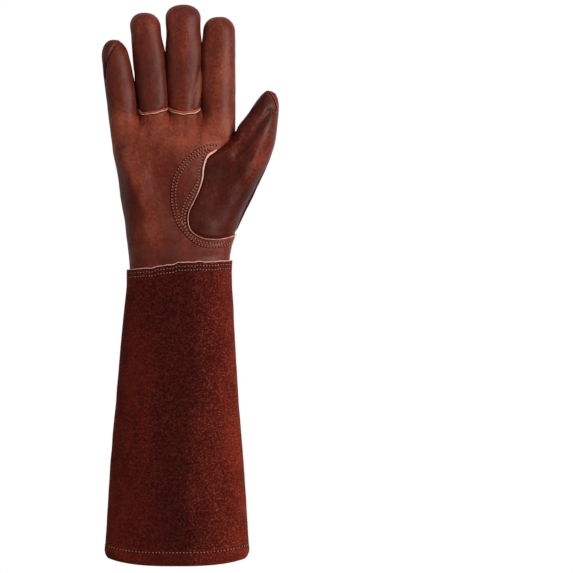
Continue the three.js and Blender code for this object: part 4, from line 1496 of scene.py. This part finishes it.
def sew(name, rows, material, tree, **changes):
    # joins rows of stitches into one piece, and the painted shade of the holes between them into another
    points, faces, holes, count = [], [], [], 0
    for number, (path, ups) in enumerate(rows):
        rowPoints, rowFaces, rowHoles = stitches(path, ups, {**stitchLook, **changes}, number + 1)
        points.append(rowPoints)
        faces += [[corner + count for corner in face] for face in rowFaces]
        count += len(rowPoints)
        holes.append(rowHoles)
    addPiece(name, np.concatenate(points), faces, material, "thread", (), 0)
    places, ups = settle(np.concatenate(holes), tree)
    points, faces = needleHoles(places, ups, holeLook)
    addPiece(name + "Holes", points, fixFacing(points, faces), holeShade, "thread", (), 0)


print("stitches")
# a dark bead that paints the shade in the thumb tip's slit
slit = dropOn(thumbTree, tipPath)
size = tapered(len(slit), 16)
bead("thumbTipSlit", slit, upwards, slitLook["width"] * size, slitLook["height"] * size, holeShade)

rowStep = 0.6


def palmRow(plan, tree):
    # a line in plan laid on a surface over the palm
    plan = evenly(plan, rowStep)
    places, ups = settle(onPalm(plan[:, 0], plan[:, 1]) + np.array([0, 0, 1.3]), tree)
    return places, np.where(ups[:, 2:] < 0, -ups, ups)


innerRow = [
    (20.5, 328),
    (16.6, 320.4),
    (13.4, 314.6),
    (8.9, 308.1),
    (6.3, 303),
    (4.7, 296.5),
    (4.1, 290.7),
    (5.6, 284),
]
crescentRows = [
    beside(patchEdge, np.linspace(0.02, 0.985, 240), -1.5),
    beside(patchEdge, np.linspace(0.05, 0.975, 240), -5.0),
    beside(thumbSeam, np.linspace(0.15, 0.6, 240), 3.3),
    roundLine(innerRow),
]
sew("crescentStitches", [palmRow(row, patchTree) for row in crescentRows], brownThread, patchTree)


# zigzag over the gather, and the seam along the index side of the back

backLook = {"teeth": 9, "toothWidth": 9.0, "toothHeight": 6.4, "middle": 1.5, "inset": 3.6}


def backRow(plan):
    # a line in plan laid on the underside of the hand
    places = dropOn(handTree, evenly(np.array(plan), rowStep), -20, 1)
    return places, np.tile(-upwards, (len(places), 1))


turns = np.arange(backLook["teeth"] * 2 + 1)
zigzagX = backLook["middle"] + (turns - backLook["teeth"]) * backLook["toothWidth"] / 2
zigzagY = gatherY + np.where(turns % 2, 0.5, -0.5) * backLook["toothHeight"]
edgeRow = [(handSection(y)[0] + handSection(y)[1] - backLook["inset"], y) for y in range(266, 386, 6)]
edgeRow += [(fingerBase(3) + fingers[3]["width"] / 2 - backLook["inset"], y) for y in (392, 410, 430, 442)]
zigzag = backRow(np.stack([zigzagX, zigzagY], -1))
sew("gatherStitches", [zigzag], brownThread, handTree, pitch=2.3, width=0.8, rise=0.5)
sew("indexStitches", [backRow(roundLine(edgeRow, 4))], brownThread, handTree, width=0.7)


# cuff

cuffLook = {
    "around": 190,
    "rows": 150,
    "broad": 0.9,
    "broadSize": (34, 70, 34),
    "small": 0.3,
    "smallSize": (10, 16, 10),
    "hemRise": 0.3,
    "hemGroove": 0.35,
    "hemGrooveWidth": 1.1,
    "edgeWidth": 0.85,
    "edgeHeight": 2.1,
    "wristRows": (3.0, 6.4),  # below the cut edge
    "hemRow": 0.2,  # above the hem's depth
}


cutHills = [(1.9, 0.14, 0.6), (-0.5, -0.6, 0.2)]  # height in mm, then place and half width across the cuff
cutFlutter = [(0.35, 17, 1), (0.25, 31, 2)]  # height in mm, how often and from where


def cutWave(spot):
    # the palm side of the cut edge rises in the middle and runs unevenly
    even = np.where(np.abs(spot) < 1, 1 - spot * spot, 0)
    hills = sum(high * bump((spot - place) / half) for high, place, half in cutHills)
    return even * (hills + sum(high * np.sin(spot * often + start) for high, often, start in cutFlutter))


def hemBow(spot):
    return cuff["hemDrop"] * np.abs(spot) ** 3


def cuffPoint(angle, share):
    # a place on the cuff, round it by an angle and from its hem (0) to its cut edge (1)
    c, s = np.cos(angle), np.sin(angle)
    spot = np.sign(c) * np.abs(c) ** cuff["squareness"]
    start = hemBow(spot)
    end = cuff["length"] + cuff["tilt"] * spot / 2 + np.where(s > 0, cutWave(spot), 0)
    y = lerp(start, end, share)
    joined = smooth((y - cuff["hemDepth"]) / (handEndY - cuff["hemDepth"]))
    middle, half, top, seam, floor = handSection(np.maximum(y, handEndY))
    ease = walls["suede"] + walls["cuffEase"]
    below = np.minimum(1, y / handEndY)
    ownHalf = lerp(cuff["hemWidth"] / 2, half + ease, below ** cuff["flare"])
    fromCorner = np.clip(1 - (y - start) / cuff["cornerLength"], 0, 1)
    ownHalf = ownHalf - cuff["corner"] * fromCorner ** cuff["cornerPower"]
    ownTop = lerp(cuff["hemHeight"], top + ease, joined)
    side = lerp(cuff["hemHeight"] / 2, seam, joined)
    x = middle * below ** cuff["drift"] + spot * ownHalf
    over = side + (ownTop - side) * roundness(spot, hand["palmRound"])
    under = side - (side + hand["flatSink"]) * roundness(spot, hand["backRound"])
    return stack(x, y, np.maximum(0, np.where(s > 0, over, under)))


def shapeCuff(skin, look):
    # soft waves over the cuff, with its hem raised and a groove under the stitches
    points = skin.points
    calm = smooth((cuff["length"] - points[:, 1]) / 30) * smooth(points[:, 2] / 3)
    lift = unevenness(points, look, 51, 52) * calm
    spot = np.clip(points[:, 0] / (cuff["hemWidth"] / 2), -1, 1)
    fromHem = points[:, 1] - hemBow(spot)
    lift += look["hemRise"] * (1 - smooth((fromHem - cuff["hemDepth"]) / 1.5))
    lift -= look["hemGroove"] * hill((fromHem - cuff["hemDepth"]) / look["hemGrooveWidth"])
    skin.points = points + skin.normals * lift[:, None]
    skin.points[:, 2] = np.maximum(skin.points[:, 2], 0)
    skin.findNormals()


print("cuff")
angles = np.append(around(cuffLook["around"]), 0)
cuffSkin = Skin()
cuffSkin.add("cuff", [cuffPoint(angles, share) for share in spaced(cuffLook["rows"])[::-1]])
shapeCuff(cuffSkin.weld(), cuffLook)
faces = corners(cuffSkin.cells)
cuffTree = BVHTree.FromPolygons(cuffSkin.points.tolist(), faces)
sheet = wall(cuffSkin.points, cuffSkin.normals, faces, walls["suede"], 0)
addPiece("cuff", *sheet, suede, "suede", ("cuff",))

# the pale cut edge lies in the middle of the wall
flat = np.array([1, 0, 1])
ring = cuffPoint(angles[:-1], 1.0)
centre = ring.mean(axis=0) * flat
ring = ring + unit(centre - ring * flat) * (walls["suede"] / 2)
loop = evenly(np.concatenate([ring, ring[:1]]), 0.8)
ups = unit((loop - centre) * flat)
widths = np.full(len(loop), cuffLook["edgeWidth"])
heights = np.full(len(loop), cuffLook["edgeHeight"])
bead("cuffCutEdge", loop + np.array([0, 0.15, 0]), ups, widths, heights, cuffEdge)


def cuffRow(share, count=400):
    # a line round the cuff at a share of its length
    return settle(evenly(cuffPoint(np.radians(np.linspace(0, 360, count)), share), rowStep), cuffTree)


rows = [cuffRow(1 - distance / cuff["length"]) for distance in cuffLook["wristRows"]]
sew("wristStitches", rows, tanThread, cuffTree, rise=0.25, width=0.6)
hemRow = cuffRow((cuff["hemDepth"] + cuffLook["hemRow"]) / cuff["length"], 500)
sew("hemStitches", [hemRow], tanThread, cuffTree, rise=0.3, width=0.75, pitch=2.9)


# floor, light and camera

lamps = {  # place in metres, size, power
    "right": ((1.0, 0.3, 1.15), 0.6, 30),
    "left": ((-1.0, 0.6, 1.1), 0.7, 4),
    "top": ((0.2, 1.3, 1.0), 0.7, 6),
}
stage = {
    "world": 0.14,
    "floor": (236, 236, 236),
    "floorSize": 3.0,
    "floorDrop": -0.0006,
    "glow": 1.0,
    "pixel": 1.185,  # photo pixels to a millimetre
    "image": 573,
    "middleX": 92.4,  # what the middle of the photo looks at
    "middleY": 234.2,
    "away": 4.5,
}


def addLight(name, place, size, power):
    lamp = bpy.data.lights.new(name, "AREA")
    lamp.shape = "DISK"
    lamp.size = size
    lamp.energy = power
    holder = addObject(name, lamp, place)
    holder.rotation_euler = (-Vector(place)).to_track_quat("-Z", "Y").to_euler()


def whiteToCamera(maker, plain, output, share):
    # the camera sees plain white, and what lights the glove is the plain shader
    seen = maker.node("ShaderNodeLightPath")
    white = maker.node("ShaderNodeEmission")
    both = maker.node("ShaderNodeMixShader", {}, {0: seen * share, 1: Value(maker, plain), 2: white})
    maker.tree.links.new(both.socket, output)


print("stage")
half = stage["floorSize"]
mesh = bpy.data.meshes.new("floor")
mesh.from_pydata([(-half, -half, 0), (half, -half, 0), (half, half, 0), (-half, half, 0)], [], [[0, 1, 2, 3]])
floor = addObject("floor", mesh, (0, 0, stage["floorDrop"]))
paper = Finish("paper", Base_Color=colour(stage["floor"]), Roughness=0.9)
paperOut = paper.tree.nodes["Material Output"].inputs["Surface"]
whiteToCamera(paper, paper.surface.outputs[0], paperOut, stage["glow"])
mesh.materials.append(paper.material)
floor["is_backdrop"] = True

world = bpy.data.worlds.new("studio")
world.use_nodes = True
background = world.node_tree.nodes["Background"]
background.inputs["Color"].default_value = (1, 1, 1, 1)
background.inputs["Strength"].default_value = stage["world"]
worldOut = world.node_tree.nodes["World Output"].inputs["Surface"]
whiteToCamera(Nodes(world.node_tree), background.outputs[0], worldOut, 1.0)
bpy.context.scene.world = world
for name, (place, size, power) in lamps.items():
    addLight(name, place, size, power)

cameraData = bpy.data.cameras.new("camera")
cameraData.sensor_width = 36
seen = stage["image"] / stage["pixel"] * mm
cameraData.lens = cameraData.sensor_width * stage["away"] / seen
middle = (stage["middleX"] * mm + origin[0], stage["middleY"] * mm + origin[1])
bpy.context.scene.camera = addObject("camera", cameraData, (*middle, stage["away"] + 0.02))
bpy.context.scene.view_settings.view_transform = "Standard"
bpy.context.scene.view_settings.look = "None"

sizes = {"cad": [list(corner) for corner in cadBounds], "visual": [list(corner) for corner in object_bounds()]}
print("sizes", sizes)
